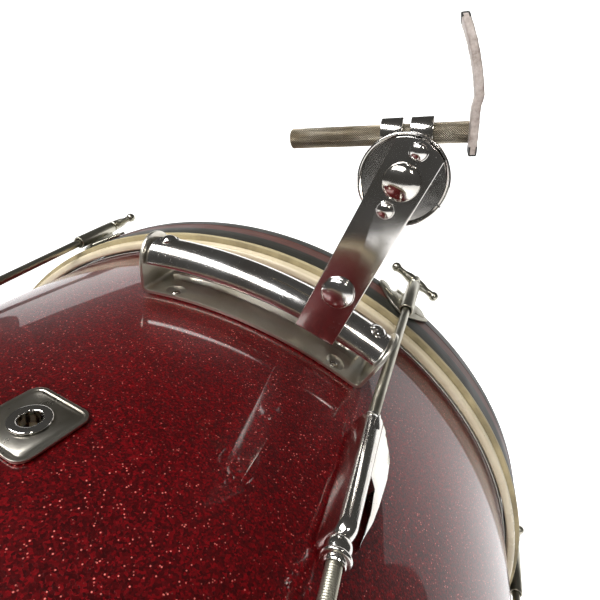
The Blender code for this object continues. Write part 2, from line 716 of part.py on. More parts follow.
def tilt_frame():
    """X along the knurled rod towards its plate, Y from the pivot to the rod, Z along the drum's axis."""
    slope = math.radians(KNURLED_ROD_SLOPE)
    along_rod = Vector((-math.cos(slope), 0, math.sin(slope)))
    along = Vector((0, 1, 0))
    return basis(on_drum(ARM_ANGLE, PIVOT_RADIUS, 0), along_rod, along.cross(along_rod), along)


def bolt_holes(places, diameter):
    """Cutters along the drum's axis, at heights up the arm from the pivot."""
    return [
        (cylinder("hole", diameter / 2 + GAP, -0.2, 0.2, SMALL_STEPS), Matrix.Translation((0, height, 0)))
        for height in places
    ]


def build_arm():
    """The strip that hooks under the rail's near side, and the jaw that hooks under its far side."""
    half = ARM_WIDTH / 2
    low = HOOK_BOTTOM - PIVOT_RADIUS
    top_radius = DISC_RADIUS - ARM_TOP_MARGIN
    outline = [(-half, low), (half, low)]
    reach = math.asin(half / top_radius)
    for index in range(9):
        angle = reach - index * reach / 4
        outline.append((top_radius * math.sin(angle), top_radius * math.cos(angle)))
    strip = prism("arm", outline, ARM_BACK, ARM_FRONT)
    hook = box("hook", (-half, low, ARM_FRONT - HOOK_DEPTH), (half, low + ARM_THICKNESS, ARM_FRONT - 0.0005))
    mesh = combine(strip, [(hook, Matrix())], "UNION")
    holes = bolt_holes([CLAMP_BOLT_RADIUS - PIVOT_RADIUS], CLAMP_BOLT_SHANK)
    holes += bolt_holes([0], PIVOT_BOLT_SHANK)
    holes += bolt_holes([-DISC_SCREW_SPACING, DISC_SCREW_SPACING], DISC_SCREW_SHANK)
    place("holder_arm", combine(mesh, holes), CHROME, arm_frame(PIVOT_RADIUS))

    jaw_outline = [(-half, low), (half, low), (half, low + JAW_HEIGHT - 0.005)]
    jaw_outline += [(half - 0.005, low + JAW_HEIGHT), (0.005 - half, low + JAW_HEIGHT)]
    jaw_outline.append((-half, low + JAW_HEIGHT - 0.005))
    jaw = prism("jaw", jaw_outline, JAW_BACK, JAW_FACE)
    hook = box("hook", (-half, low, JAW_BACK + 0.0005), (half, low + ARM_THICKNESS, JAW_BACK + HOOK_DEPTH))
    mesh = combine(jaw, [(hook, Matrix())], "UNION")
    holes = bolt_holes([CLAMP_BOLT_RADIUS - PIVOT_RADIUS], CLAMP_BOLT_SHANK)
    place("holder_jaw", combine(mesh, holes), CHROME, arm_frame(PIVOT_RADIUS))


def domed_head(radius, low, height):
    """A button head's profile, from its rim at a low face up to the axis."""
    points = [(radius, low)]
    for turn in (20, 45, 70):
        bend = math.radians(turn)
        points.append((radius * math.cos(bend), low + height * math.sin(bend)))
    return points + [(0, low + height)]


def bolt_mesh(name, head_diameter, head_height, shank_diameter, face, end, nut_diameter=0.0, nut_face=0.0):
    """A dome-headed bolt along Z whose head rests on a face; a nut is part of it where it is given."""
    shank = shank_diameter / 2
    profile = [(0, end), (shank, end)]
    if nut_diameter:
        nut = nut_diameter / 2
        nut_end = nut_face - CLAMP_NUT_HEIGHT
        profile = [(0, nut_end), (nut - CLAMP_NUT_BEVEL, nut_end), (nut, nut_end + CLAMP_NUT_BEVEL)]
        profile += [(nut, nut_face), (shank, nut_face)]
    profile.append((shank, face + GAP))
    profile += domed_head(head_diameter / 2, face + GAP, head_height)
    return turned(name, profile, ROUND_STEPS)


def build_holder_bolts():
    mesh = bolt_mesh(
        "clamp_bolt",
        CLAMP_BOLT_HEAD,
        0.005,
        CLAMP_BOLT_SHANK,
        ARM_FRONT,
        0,
        CLAMP_NUT,
        JAW_BACK - GAP,
    )
    place("clamp_bolt", mesh, CHROME, arm_frame(CLAMP_BOLT_RADIUS))

    mesh = bolt_mesh("pivot_bolt", PIVOT_BOLT_HEAD, 0.0055, PIVOT_BOLT_SHANK, ARM_FRONT, CLIP_FACE - 0.003)
    place("pivot_bolt", mesh, CHROME, arm_frame(PIVOT_RADIUS))

    mesh = bolt_mesh("disc_screw", DISC_SCREW_HEAD, 0.0028, DISC_SCREW_SHANK, ARM_FRONT, DISC_BACK + 0.0012)
    for name, side in (("upper", 1), ("lower", -1)):
        screw_radius = PIVOT_RADIUS + side * DISC_SCREW_SPACING
        place("disc_screw_" + name, mesh, CHROME, arm_frame(screw_radius))


def build_disc():
    """A shallow dish behind the arm, fixed to it by the two small screws."""
    inner = DISC_RADIUS - DISC_RIM
    profile = [
        (0, DISC_BACK),
        (DISC_RADIUS - 0.001, DISC_BACK),
        (DISC_RADIUS, DISC_BACK + 0.001),
        (DISC_RADIUS, DISC_FACE),
        (inner, DISC_FACE),
        (inner - 0.0012, DISC_FACE - 0.0012),
        (0, DISC_FACE - 0.0012),
    ]
    mesh = turned("tilter_disc", profile, DISC_STEPS)
    holes = bolt_holes([0], PIVOT_BOLT_SHANK)
    holes += bolt_holes([-DISC_SCREW_SPACING, DISC_SCREW_SPACING], DISC_SCREW_SHANK)
    place("tilter_disc", combine(mesh, holes), CHROME, arm_frame(PIVOT_RADIUS))


def rod_axis_frame():
    """The knurled rod's frame within the tilting head: Z along the rod towards its plate."""
    turn = Matrix(((0, 0, 1, 0), (0, 1, 0, 0), (-1, 0, 0, 0), (0, 0, 0, 1)))
    return Matrix.Translation((0, KNURLED_ROD_RISE, ROD_PLANE)) @ turn


def build_clip():
    """The tilting disc behind the dish, with two loops that hold the knurled rod."""
    mesh = cylinder("rod_clip", CLIP_DISC_RADIUS, CLIP_BACK, CLIP_FACE, DISC_STEPS)
    parts = []
    tab_inset = 0.0004
    for side in (-1, 1):
        low = side * CLIP_LOOP_PITCH / 2 - CLIP_LOOP_WIDTH / 2
        high = low + CLIP_LOOP_WIDTH
        parts.append((cylinder("loop", CLIP_OUTER, low, high, SMALL_STEPS), rod_axis_frame()))
        tab = box(
            "tab",
            (low + tab_inset, CLIP_TAB_START, CLIP_BACK - CLIP_LOOP_WALL),
            (high - tab_inset, KNURLED_ROD_RISE - 0.001, CLIP_FACE - 0.001),
        )
        parts.append((tab, Matrix()))
    mesh = combine(mesh, parts, "UNION")
    bore = cylinder("bore", CLIP_BORE, -0.1, 0.1)
    pivot = cylinder("pivot", PIVOT_BOLT_SHANK / 2 + GAP, -0.2, 0.2, SMALL_STEPS)
    mesh = combine(mesh, [(bore, rod_axis_frame()), (pivot, Matrix())])
    place("rod_clip", mesh, CHROME, tilt_frame())


def build_knurled_rod():
    """The rod that slides in the clip, and the cranked plate that a tom hangs on."""
    radius = KNURLED_ROD_DIAMETER / 2
    profile = [
        (0, KNURLED_ROD_PLATE_END),
        (radius, KNURLED_ROD_PLATE_END),
        (radius, 0.0008 - KNURLED_ROD_FREE_END),
        (radius - 0.0008, -KNURLED_ROD_FREE_END),
        (0, -KNURLED_ROD_FREE_END),
    ]
    mesh = turned("knurled_rod", profile, ROUND_STEPS)
    place("knurled_rod", mesh, AGED_NICKEL, tilt_frame() @ rod_axis_frame())

    face = KNURLED_ROD_PLATE_END + GAP
    crank = KNURLED_ROD_DIAMETER / 2 + TOM_PLATE_CRANK_START
    crank_end = crank + TOM_PLATE_CRANK_LENGTH
    middle = [(0, -TOM_PLATE_BELOW), (0, crank), (TOM_PLATE_JOG, crank_end)]
    for share in (0.33, 0.67, 1):
        bulge = TOM_PLATE_BULGE * math.sin(math.pi * share)
        lean = TOM_PLATE_JOG - (TOM_PLATE_JOG + TOM_PLATE_LEAN) * share
        middle.append((lean + bulge, crank_end + (TOM_PLATE_ABOVE - crank_end) * share))
    outline = [(face + x, y) for x, y in middle]
    outline += [(face + x + TOM_PLATE_THICKNESS, y) for x, y in reversed(middle)]
    half = TOM_PLATE_WIDTH / 2
    mesh = prism("tom_plate", outline, -half, half)
    frame = tilt_frame() @ Matrix.Translation((0, KNURLED_ROD_RISE, ROD_PLANE))
    place("tom_plate", mesh, RAW_CASTING, frame)


def spur_frame(side):
    """Z along the spur's pin, Y towards the leg's foot, at the middle of the leg's eye."""
    aim = Vector((side * SPUR_SPLAY.x, SPUR_SPLAY.y, SPUR_SPLAY.z)).normalized()
    pin = aim.cross(Vector((0, 1, 0))).normalized() * side
    origin = on_drum(side * SPUR_ANGLE, SHELL_RADIUS + SPUR_PIVOT_RISE, -SPUR_OFFSET)
    return basis(origin, aim.cross(pin), aim, pin)


def build_spur(name, side):
    """Bracket with its pin, a leg that folds about the pin, and the wing nut that locks it."""
    frame = spur_frame(side)
    half_eye = SPUR_EYE_WIDTH / 2
    boss_face = -half_eye - GAP
    pin_end = half_eye + GAP + WING_NUT_LENGTH + SPUR_PIN_SPARE
    boss = [
        (0, boss_face - SPUR_BOSS_WIDTH),
        (SPUR_BOSS_DIAMETER / 2, boss_face - SPUR_BOSS_WIDTH),
        (SPUR_BOSS_DIAMETER / 2, boss_face),
        (SPUR_PIN_DIAMETER / 2, boss_face),
        (SPUR_PIN_DIAMETER / 2, pin_end),
        (0, pin_end),
    ]
    bracket = turned("bracket", boss, ROUND_STEPS)
    plate_seat = seat(side * SPUR_ANGLE, SHELL_RADIUS, -SPUR_OFFSET)
    to_pin = frame.inverted() @ plate_seat
    half_width = SPUR_PLATE_WIDTH / 2
    half_length = SPUR_PLATE_LENGTH / 2
    half_post = SPUR_POST_WIDTH / 2
    low = 2 * GAP
    plate = box(
        "plate",
        (-half_width, -half_length, low),
        (half_width, half_length, low + SPUR_PLATE_THICKNESS),
    )
    boss_middle = boss_face - SPUR_BOSS_WIDTH / 2
    boss_at = plate_seat.inverted() @ (frame @ Vector((0, 0, boss_middle)))
    post = box(
        "post",
        (boss_at.x - half_post, boss_at.y - half_post, low + OVERLAP),
        (boss_at.x + half_post, boss_at.y + half_post, boss_at.z),
    )
    mesh = combine(bracket, [(plate, to_pin), (post, to_pin)], "UNION")
    place(f"spur_bracket_{name}", mesh, CHROME, frame)

    tip = frame.translation.z / -frame.col[1].z - spur_tip_allowance(frame)
    leg_start = SPUR_EYE_DIAMETER / 2 - 2 * OVERLAP
    radius = SPUR_LEG_DIAMETER / 2
    foot = SPUR_FOOT_DIAMETER / 2
    leg = [
        (0, leg_start),
        (radius, leg_start),
        (radius, tip - SPUR_FOOT_LENGTH),
        (foot, tip - SPUR_FOOT_LENGTH + SPUR_FOOT_BEVEL),
        (foot, tip - SPUR_FOOT_TAPER),
        (foot * SPUR_FOOT_TIP, tip),
        (0, tip),
    ]
    leg_mesh = turned("leg", leg, SMALL_STEPS)
    to_leg = Matrix.Rotation(math.radians(-90), 4, "X")
    eye = cylinder("eye", SPUR_EYE_DIAMETER / 2, -half_eye, half_eye)
    mesh = combine(eye, [(leg_mesh, to_leg)], "UNION")
    hole = cylinder("hole", SPUR_PIN_DIAMETER / 2 + GAP, -0.02, 0.02, SMALL_STEPS)
    place(f"spur_leg_{name}", combine(mesh, [(hole, Matrix())]), CHROME, frame)

    low = half_eye + GAP
    top = low + WING_NUT_LENGTH
    hub = cylinder("hub", WING_NUT_HUB / 2, low, top, SMALL_STEPS)
    wings = prism(
        "wings",
        [
            (-WING_SPAN / 2, top + WING_RISE),
            (-WING_NUT_HUB / 4, low + OVERLAP),
            (WING_NUT_HUB / 4, low + OVERLAP),
            (WING_SPAN / 2, top + WING_RISE),
            (WING_SPAN / 2 - WING_TIP, top + 2 * WING_RISE),
            (WING_NUT_HUB / 3, top - OVERLAP),
            (-WING_NUT_HUB / 3, top - OVERLAP),
            (WING_TIP - WING_SPAN / 2, top + 2 * WING_RISE),
        ],
        -WING_THICKNESS / 2,
        WING_THICKNESS / 2,
    )
    stand = Matrix.Rotation(math.radians(90), 4, "X")
    mesh = combine(hub, [(wings, stand)], "UNION")
    hole = cylinder("hole", SPUR_PIN_DIAMETER / 2 + GAP, -0.03, 0.03, SMALL_STEPS)
    place(f"spur_wing_nut_{name}", combine(mesh, [(hole, Matrix())]), CHROME, frame)


def spur_tip_allowance(frame):
    """How far short of the floor the foot's axis ends, so that the foot's rim just meets the floor."""
    steep = -frame.col[1].z
    flat = math.sqrt(1 - steep**2)
    rim = SPUR_FOOT_DIAMETER / 2
    return max(rim * SPUR_FOOT_TIP * flat / steep, rim * flat / steep - SPUR_FOOT_TAPER)


def main():
    clear_scene()
    build_shell()
    build_head_side("front", -1)
    build_head_side("batter", 1)
    build_lugs()
    build_tension()
    build_vent()
    build_rail()
    build_arm()
    build_holder_bolts()
    build_disc()
    build_clip()
    build_knurled_rod()
    build_spur("left", 1)
    build_spur("right", -1)


main()
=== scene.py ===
# %% [markdown]
# # A twenty inch bass drum, seen across its top
#
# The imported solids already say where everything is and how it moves. This lesson gives them their real
# surfaces: sparkle lacquer, chrome, dulled nickel, knurling and threads. We load the solids first, keep the
# size of the whole drum, and write down the sizes that every later cell works from.

import json
import math

import bmesh
import bpy
from mathutils import Matrix, Vector


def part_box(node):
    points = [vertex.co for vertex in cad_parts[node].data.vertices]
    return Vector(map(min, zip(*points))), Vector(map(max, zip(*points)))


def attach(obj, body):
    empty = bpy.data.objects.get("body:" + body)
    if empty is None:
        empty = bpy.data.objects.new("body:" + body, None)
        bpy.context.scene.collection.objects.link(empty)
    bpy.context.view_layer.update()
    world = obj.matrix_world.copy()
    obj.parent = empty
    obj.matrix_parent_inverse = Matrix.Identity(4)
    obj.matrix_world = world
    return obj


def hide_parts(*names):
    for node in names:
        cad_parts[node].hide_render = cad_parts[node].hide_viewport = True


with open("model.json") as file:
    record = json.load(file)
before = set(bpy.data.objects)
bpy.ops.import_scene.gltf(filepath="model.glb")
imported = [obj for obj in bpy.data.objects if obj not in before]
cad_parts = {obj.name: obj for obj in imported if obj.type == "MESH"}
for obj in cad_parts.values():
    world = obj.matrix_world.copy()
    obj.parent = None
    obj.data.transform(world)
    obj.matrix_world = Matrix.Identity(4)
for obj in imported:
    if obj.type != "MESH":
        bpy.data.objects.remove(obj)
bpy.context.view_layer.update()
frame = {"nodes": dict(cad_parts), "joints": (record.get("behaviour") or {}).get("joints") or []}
joints = {joint["name"]: joint for joint in frame["joints"]}

# %% sizes read from the frame
MM = 0.001
GAP = 0.3 * MM
shell_low, shell_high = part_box("shell")
CENTRE = (shell_low + shell_high) / 2
SHELL_RADIUS = (shell_high.x - shell_low.x) / 2
SHELL_HALF = (shell_high.y - shell_low.y) / 2
hoop_low, hoop_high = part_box("batter_hoop")
HOOP_RADIUS = (hoop_high.x - hoop_low.x) / 2
HOOP_BACK = hoop_low.y
HOOP_FRONT = hoop_high.y
flesh_low, flesh_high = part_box("batter_flesh_hoop")
FLESH_RADIUS = (flesh_high.x - flesh_low.x) / 2
FLESH_BACK = flesh_low.y
HEAD_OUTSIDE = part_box("batter_head")[1].y
HEAD_RADIUS = (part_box("batter_head")[1].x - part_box("batter_head")[0].x) / 2
LUG_HALF = abs(joints["tension_rod_batter_1_turn"]["pos_m"][1])
SIDES = (("front", -1), ("batter", 1))
LUGS = range(1, 7)
print("shell radius", round(SHELL_RADIUS, 4), "hoop", round(HOOP_BACK, 4), "to", round(HOOP_FRONT, 4))

# %% [markdown]
# ## Small tools
#
# Nearly every piece here is either turned on a lathe or pressed from plate. A lathe is one spin of a
# profile, and a pressing is an outline that is extruded and then has its edges softened. These helpers add
# such shapes to a bmesh, in a frame that says where the piece sits.

# %% frames on the drum
def basis(origin, x, y, z):
    matrix = Matrix((x, y, z)).transposed().to_4x4()
    matrix.translation = origin
    return matrix


def radial(degrees):
    """The outward direction at an angle from the top, positive towards +X."""
    return Vector((math.sin(math.radians(degrees)), 0, math.cos(math.radians(degrees))))


def seat(out, radius, y, side=1):
    """X round the drum, Y along it towards the head on that side, Z outward."""
    along = Vector((0, side, 0))
    return basis(CENTRE + out * radius + Vector((0, y, 0)), along.cross(out), along, out)


def rod_joint(side_name, number):
    joint = joints[f"tension_rod_{side_name}_{number}_turn"]
    return Vector(joint["pos_m"]), Vector(joint["axis"]).normalized()


def lug_out(number):
    place, _ = rod_joint("batter", number)
    out = place - CENTRE
    out.y = 0
    return out.normalized()


def rod_frame(side_name, side, number):
    """Z runs along a tension rod, from the lug's end to the handle."""
    place, aim = rod_joint(side_name, number)
    across = Vector((0, side, 0)).cross(lug_out(number))
    return basis(place, across, aim.cross(across), aim)


# %% shaping helpers
def turn(bm, profile, steps, matrix=None, closed=False):
    """Spins a (radius, height) profile about Z and returns the new verts."""
    old = set(bm.verts)
    verts = [bm.verts.new((radius, 0, height)) for radius, height in profile]
    edges = [bm.edges.new(pair) for pair in zip(verts, verts[1:])]
    if closed:
        edges.append(bm.edges.new((verts[-1], verts[0])))
    bmesh.ops.spin(
        bm, geom=verts + edges, cent=(0, 0, 0), axis=(0, 0, 1), angle=math.tau, steps=steps, use_merge=True
    )
    made = [vert for vert in bm.verts if vert not in old]
    bmesh.ops.remove_doubles(bm, verts=made, dist=1e-7)
    made = [vert for vert in bm.verts if vert not in old]
    if matrix is not None:
        bmesh.ops.transform(bm, matrix=matrix, verts=made)
    return made


def slab(bm, outline, low, high, matrix=None):
    """Raises an outline in XY from one height to another and returns the new verts."""
    old = set(bm.verts)
    face = bm.faces.new([bm.verts.new((x, y, low)) for x, y in outline])
    raised = bmesh.ops.extrude_face_region(bm, geom=[face])
    top = [item for item in raised["geom"] if isinstance(item, bmesh.types.BMVert)]
    bmesh.ops.translate(bm, verts=top, vec=(0, 0, high - low))
    made = [vert for vert in bm.verts if vert not in old]
    if matrix is not None:
        bmesh.ops.transform(bm, matrix=matrix, verts=made)
    return made


def block(bm, low, high, matrix=None):
    outline = [(low[0], low[1]), (high[0], low[1]), (high[0], high[1]), (low[0], high[1])]
    return slab(bm, outline, low[2], high[2], matrix)


def soften(bm, width, segments=2, angle=30, verts=None):
    """Rounds the edges that are sharper than an angle, as tumbling or polishing does."""
    chosen = set(verts) if verts is not None else set(bm.verts)
    bmesh.ops.recalc_face_normals(bm, faces=bm.faces)
    bm.normal_update()
    sharp = [
        edge
        for edge in bm.edges
        if len(edge.link_faces) == 2
        and edge.verts[0] in chosen
        and edge.verts[1] in chosen
        and edge.calc_face_angle(0) > math.radians(angle)
    ]
    bmesh.ops.bevel(
        bm,
        geom=sharp,
        offset=width,
        offset_type="OFFSET",
        affect="EDGES",
        segments=segments,
        profile=0.5,
        material=-1,
        clamp_overlap=True,
    )


def arc(centre_x, centre_y, radius, start, end, steps):
    """Points along an arc, with angles in degrees from +X."""
    points = []
    for index in range(steps + 1):
        bend = math.radians(start + (end - start) * index / steps)
        points.append((centre_x + radius * math.cos(bend), centre_y + radius * math.sin(bend)))
    return points


def flowing(stations, per_span=5):
    """A profile that eases from each (radius, height) station to the next."""
    points = [stations[0]]
    for before, after in zip(stations, stations[1:]):
        for index in range(1, per_span + 1):
            share = index / per_span
            eased = share * share * (3 - 2 * share)
            points.append(
                (before[0] + (after[0] - before[0]) * eased, before[1] + (after[1] - before[1]) * share)
            )
    return points


# %% finished pieces
made_pieces = []


def piece(name, bm, body, material, nodes=(), smooth=35, merge=1e-6):
    """Closes a bmesh as one named piece that rides on a body and stands for its solids."""
    if merge:
        bmesh.ops.remove_doubles(bm, verts=bm.verts, dist=merge)
        bmesh.ops.recalc_face_normals(bm, faces=bm.faces)
    mesh = bpy.data.meshes.new(name)
    bm.to_mesh(mesh)
    bm.free()
    for finish in material if isinstance(material, tuple) else (material,):
        mesh.materials.append(finish)
    mesh.shade_smooth()
    mesh.set_sharp_from_angle(angle=math.radians(smooth))
    obj = bpy.data.objects.new(name, mesh)
    bpy.context.scene.collection.objects.link(obj)
    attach(obj, body)
    if nodes:
        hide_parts(*nodes)
    made_pieces.append(name)
    return obj


def drill(obj, cutters):
    """Cuts a piece with bmeshes, then keeps the result as its mesh."""
    helpers = []
    for index, bm in enumerate(cutters):
        bmesh.ops.remove_doubles(bm, verts=bm.verts, dist=1e-7)
        bmesh.ops.recalc_face_normals(bm, faces=bm.faces)
        mesh = bpy.data.meshes.new("cutter")
        bm.to_mesh(mesh)
        bm.free()
        helper = bpy.data.objects.new(f"cutter_{index}", mesh)
        bpy.context.scene.collection.objects.link(helper)
        helpers.append(helper)
        modifier = obj.modifiers.new("drill", "BOOLEAN")
        modifier.operation = "DIFFERENCE"
        modifier.object = helper
    graph = bpy.context.evaluated_depsgraph_get()
    result = bpy.data.meshes.new_from_object(obj.evaluated_get(graph))
    obj.modifiers.clear()
    obj.data = result
    result.name = obj.name
    result.shade_smooth()
    result.set_sharp_from_angle(angle=math.radians(35))
    for helper in helpers:
        bpy.data.objects.remove(helper, do_unlink=True)


# %% [markdown]
# ## Finishes
#
# Each finish is a small node tree on Object coordinates, so that it stays on the piece when it moves. Noise
# gives colour its unevenness, a second noise breaks up the gloss, and a fine bump gives plate its orange
# peel or pits. A few helpers keep the trees short.

# %% node helpers
class Finish:
    """A material under construction, with its Principled shader."""

    def __init__(self, name, colour, roughness, metallic=0.0, **sockets):
        self.material = bpy.data.materials.new(name)
        self.material.use_nodes = True
        self.tree = self.material.node_tree
        self.shader = self.tree.nodes["Principled BSDF"]
        self.set("Base Color", (*colour, 1))
        self.set("Roughness", roughness)
        self.set("Metallic", metallic)
        for socket, value in sockets.items():
            self.set(socket.replace("_", " "), value)
        self.coordinates = self.tree.nodes.new("ShaderNodeTexCoord").outputs["Object"]

    def set(self, socket, value):
        self.shader.inputs[socket].default_value = value

    def node(self, kind, links=(), **settings):
        made = self.tree.nodes.new(kind)
        for key, value in settings.items():
            setattr(made, key, value)
        for socket, value in dict(links).items():
            if isinstance(value, bpy.types.NodeSocket):
                self.tree.links.new(value, made.inputs[socket])
            else:
                made.inputs[socket].default_value = value
        return made

    def math(self, operation, a, b=0.0):
        return self.node("ShaderNodeMath", {0: a, 1: b}, operation=operation).outputs[0]

    def noise(self, scale, detail=3.0, vector=None, roughness=0.55):
        made = self.node(
            "ShaderNodeTexNoise",
            {"Vector": vector or self.coordinates, "Scale": scale, "Detail": detail, "Roughness": roughness},
        )
        return made.outputs["Fac"]

    def cells(self, scale, feature="F1", vector=None):
        return self.node(
            "ShaderNodeTexVoronoi", {"Vector": vector or self.coordinates, "Scale": scale}, feature=feature
        )

    def ramp(self, value, stops, interpolation="LINEAR"):
        made = self.node("ShaderNodeValToRGB", {"Fac": value})
        made.color_ramp.interpolation = interpolation
        elements = made.color_ramp.elements
        while len(elements) < len(stops):
            elements.new(0.5)
        for element, (position, colour) in zip(elements, stops):
            element.position = position
            element.color = (*colour, 1) if isinstance(colour, tuple) else (colour, colour, colour, 1)
        return made.outputs["Color"]

    def mix(self, share, a, b, blend="MIX"):
        made = self.node("ShaderNodeMix", data_type="RGBA", blend_type=blend)
        for index, value in ((0, share), (6, a), (7, b)):
            if isinstance(value, bpy.types.NodeSocket):
                self.tree.links.new(value, made.inputs[index])
            else:
                made.inputs[index].default_value = value if index == 0 else (*value, 1)
        return made.outputs[2]

    def stretched(self, scale):
        """Object coordinates with each axis scaled, for grain and brushing."""
        return self.node("ShaderNodeMapping", {"Vector": self.coordinates, "Scale": scale}).outputs[0]

    def round_drum(self):
        """(distance round the drum, distance along it, radius), for grain that follows a hoop."""
        centred = self.node("ShaderNodeMapping", {"Vector": self.coordinates, "Location": -CENTRE}).outputs[0]
        parts = self.node("ShaderNodeSeparateXYZ", {0: centred}).outputs
        angle = self.math("ARCTAN2", parts[0], parts[2])
        length = self.math("MULTIPLY", angle, SHELL_RADIUS)
        squares = self.math("ADD", self.math("POWER", parts[0], 2.0), self.math("POWER", parts[2], 2.0))
        radius = self.math("SQRT", squares)
        return length, parts[1], radius

    def join(self, x, y, z):
        return self.node("ShaderNodeCombineXYZ", {0: x, 1: y, 2: z}).outputs[0]

    def bump(self, height, strength, distance, normal=None):
        made = self.node("ShaderNodeBump", {"Height": height, "Strength": strength, "Distance": distance})
        if normal is not None:
            self.tree.links.new(normal, made.inputs["Normal"])
        return made.outputs[0]

    def link(self, value, socket):
        self.tree.links.new(value, self.shader.inputs[socket])


# %% [markdown]
# ### Red sparkle
#
# Sparkle lacquer is clear coat over tiny metal flakes in red dye. The flakes lie at random tilts, so a few
# catch the light and the rest stay deep red. Voronoi cells under a millimetre across give each flake one
# random tilt and one random shade, and the Principled coat on top stays smooth and mirror-like.

# %% shell lacquer
def shell_lacquer():
    finish = Finish(
        "sparkle_red", (0.12, 0.001, 0.004), 0.36, 0.3, Coat_Weight=0.6, Coat_Roughness=0.035, Coat_IOR=1.42
    )
    finish.set("Specular IOR Level", 0.25)
    clouds = finish.noise(7.0, 4.0)
    deep = finish.ramp(clouds, [(0.30, (0.050, 0.0001, 0.0008)), (0.72, (0.110, 0.0002, 0.0018))])
    flakes = finish.cells(1350.0)
    shade = finish.node("ShaderNodeSeparateColor", {0: flakes.outputs["Color"]}).outputs
    grain = finish.ramp(shade[0], [(0.0, 0.35), (0.6, 0.9), (1.0, 2.1)])
    base = finish.mix(1.0, deep, grain, "MULTIPLY")
    bright = finish.ramp(shade[1], [(0.93, 0.0), (0.965, 1.0)])
    centre_of_flake = finish.ramp(flakes.outputs["Distance"], [(0.20, 1.0), (0.48, 0.0)])
    spark = finish.math("MULTIPLY", bright, centre_of_flake)
    patches = finish.ramp(finish.noise(16.0, 2.0), [(0.35, 0.45), (0.60, 1.0)])
    spark = finish.math("MULTIPLY", spark, patches)
    base = finish.mix(spark, base, (1.0, 0.24, 0.20))
    finish.link(base, "Base Color")
    finish.link(finish.bump(shade[2], 0.35, 0.0003), "Normal")
    scuffs = finish.noise(60.0, 6.0, finish.stretched((1.0, 0.25, 1.0)), 0.7)
    finish.link(finish.ramp(scuffs, [(0.45, 0.02), (0.75, 0.09)]), "Coat Roughness")
    finish.link(finish.bump(finish.noise(9.0, 2.0), 0.05, 0.004), "Coat Normal")
    return finish.material


# %% [markdown]
# ### Hoops and cream band
#
# The counter hoops are ply, lacquered black, with a brown strip let into the outside and bare worn wood at
# the inner edge. The bands run at fixed distances from the hoop's edge, so they are picked from the
# position along the drum. Grain runs round the hoop, so its noise is stretched along the arc.

# %% hoop lacquer
TAN_EDGE = 2.7 * MM
BLACK_END = 18.4 * MM
INLAY_END = 30.4 * MM


def hoop_lacquer():
    finish = Finish("hoop_black_and_brown", (0.03, 0.03, 0.025), 0.5, Coat_Weight=0.04, Coat_Roughness=0.3)
    finish.set("Specular IOR Level", 0.16)
    length, along, radius = finish.round_drum()
    across = finish.math("SUBTRACT", finish.math("ABSOLUTE", along), HOOP_BACK)
    grain = finish.noise(1.0, 5.0, finish.join(
        finish.math("MULTIPLY", length, 35.0), finish.math("MULTIPLY", across, 900.0), radius
    ))
    wobble = finish.math("MULTIPLY", finish.math("SUBTRACT", finish.noise(90.0, 3.0), 0.5), 0.9 * MM)
    share = finish.math("DIVIDE", finish.math("ADD", across, wobble), HOOP_FRONT - HOOP_BACK)
    width = HOOP_FRONT - HOOP_BACK
    zone = finish.ramp(
        share,
        [
            (0.0, (0.36, 0.30, 0.175)),
            (TAN_EDGE / width, (0.024, 0.023, 0.018)),
            (BLACK_END / width, (0.085, 0.034, 0.027)),
            (INLAY_END / width, (0.021, 0.020, 0.016)),
        ],
        "CONSTANT",
    )
    streaks = finish.ramp(grain, [(0.30, 0.62), (0.70, 1.45)])
    base = finish.mix(1.0, zone, streaks, "MULTIPLY")
    rubbed = finish.ramp(finish.noise(140.0, 6.0, None, 0.75), [(0.66, 0.0), (0.74, 0.55)])
    base = finish.mix(rubbed, base, (0.17, 0.13, 0.075))
    finish.link(base, "Base Color")
    finish.link(finish.ramp(finish.noise(30.0, 4.0), [(0.3, 0.36), (0.7, 0.54)]), "Roughness")
    finish.link(finish.bump(grain, 0.18, 0.0003), "Normal")
    return finish.material


def cream_paint():
    finish = Finish("aged_cream", (0.62, 0.51, 0.32), 0.34, Coat_Weight=0.25, Coat_Roughness=0.2)
    length, along, radius = finish.round_drum()
    drift = finish.noise(1.0, 4.0, finish.join(
        finish.math("MULTIPLY", length, 22.0), finish.math("MULTIPLY", along, 260.0), radius
    ))
    base = finish.ramp(drift, [(0.25, (0.55, 0.46, 0.30)), (0.55, (0.72, 0.62, 0.44)), (0.8, (0.76, 0.68, 0.51))])
    specks = finish.ramp(finish.cells(210.0).outputs["Distance"], [(0.035, 1.0), (0.07, 0.0)])
    thin = finish.ramp(finish.noise(24.0, 2.0), [(0.52, 0.0), (0.60, 0.8)])
    base = finish.mix(finish.math("MULTIPLY", specks, thin), base, (0.10, 0.06, 0.03))
    finish.link(base, "Base Color")
    finish.link(finish.ramp(finish.noise(45.0, 4.0), [(0.3, 0.24), (0.7, 0.42)]), "Roughness")
    finish.link(finish.bump(finish.noise(260.0, 3.0), 0.10, 0.0003), "Normal")
    return finish.material


def head_film():
    finish = Finish("coated_film", (0.78, 0.76, 0.70), 0.5, Subsurface_Weight=0.06)
    patches = finish.noise(5.0, 5.0)
    base = finish.ramp(patches, [(0.3, (0.70, 0.675, 0.61)), (0.7, (0.80, 0.785, 0.735))])
    finish.link(base, "Base Color")
    coating = finish.noise(900.0, 4.0, None, 0.7)
    finish.link(finish.ramp(coating, [(0.3, 0.42), (0.7, 0.62)]), "Roughness")
    finish.link(finish.bump(coating, 0.25, 0.0002), "Normal")
    return finish.material


# %% [markdown]
# ### Plated metal
#
# Chrome on old fittings is bright but not perfect: it has fine pits, a slight haze from handling and a
# little brown where it is thin. The claws and rods have lost their shine and are grey, warm nickel. One
# function makes all the plated finishes from a colour, a gloss and an amount of pitting.

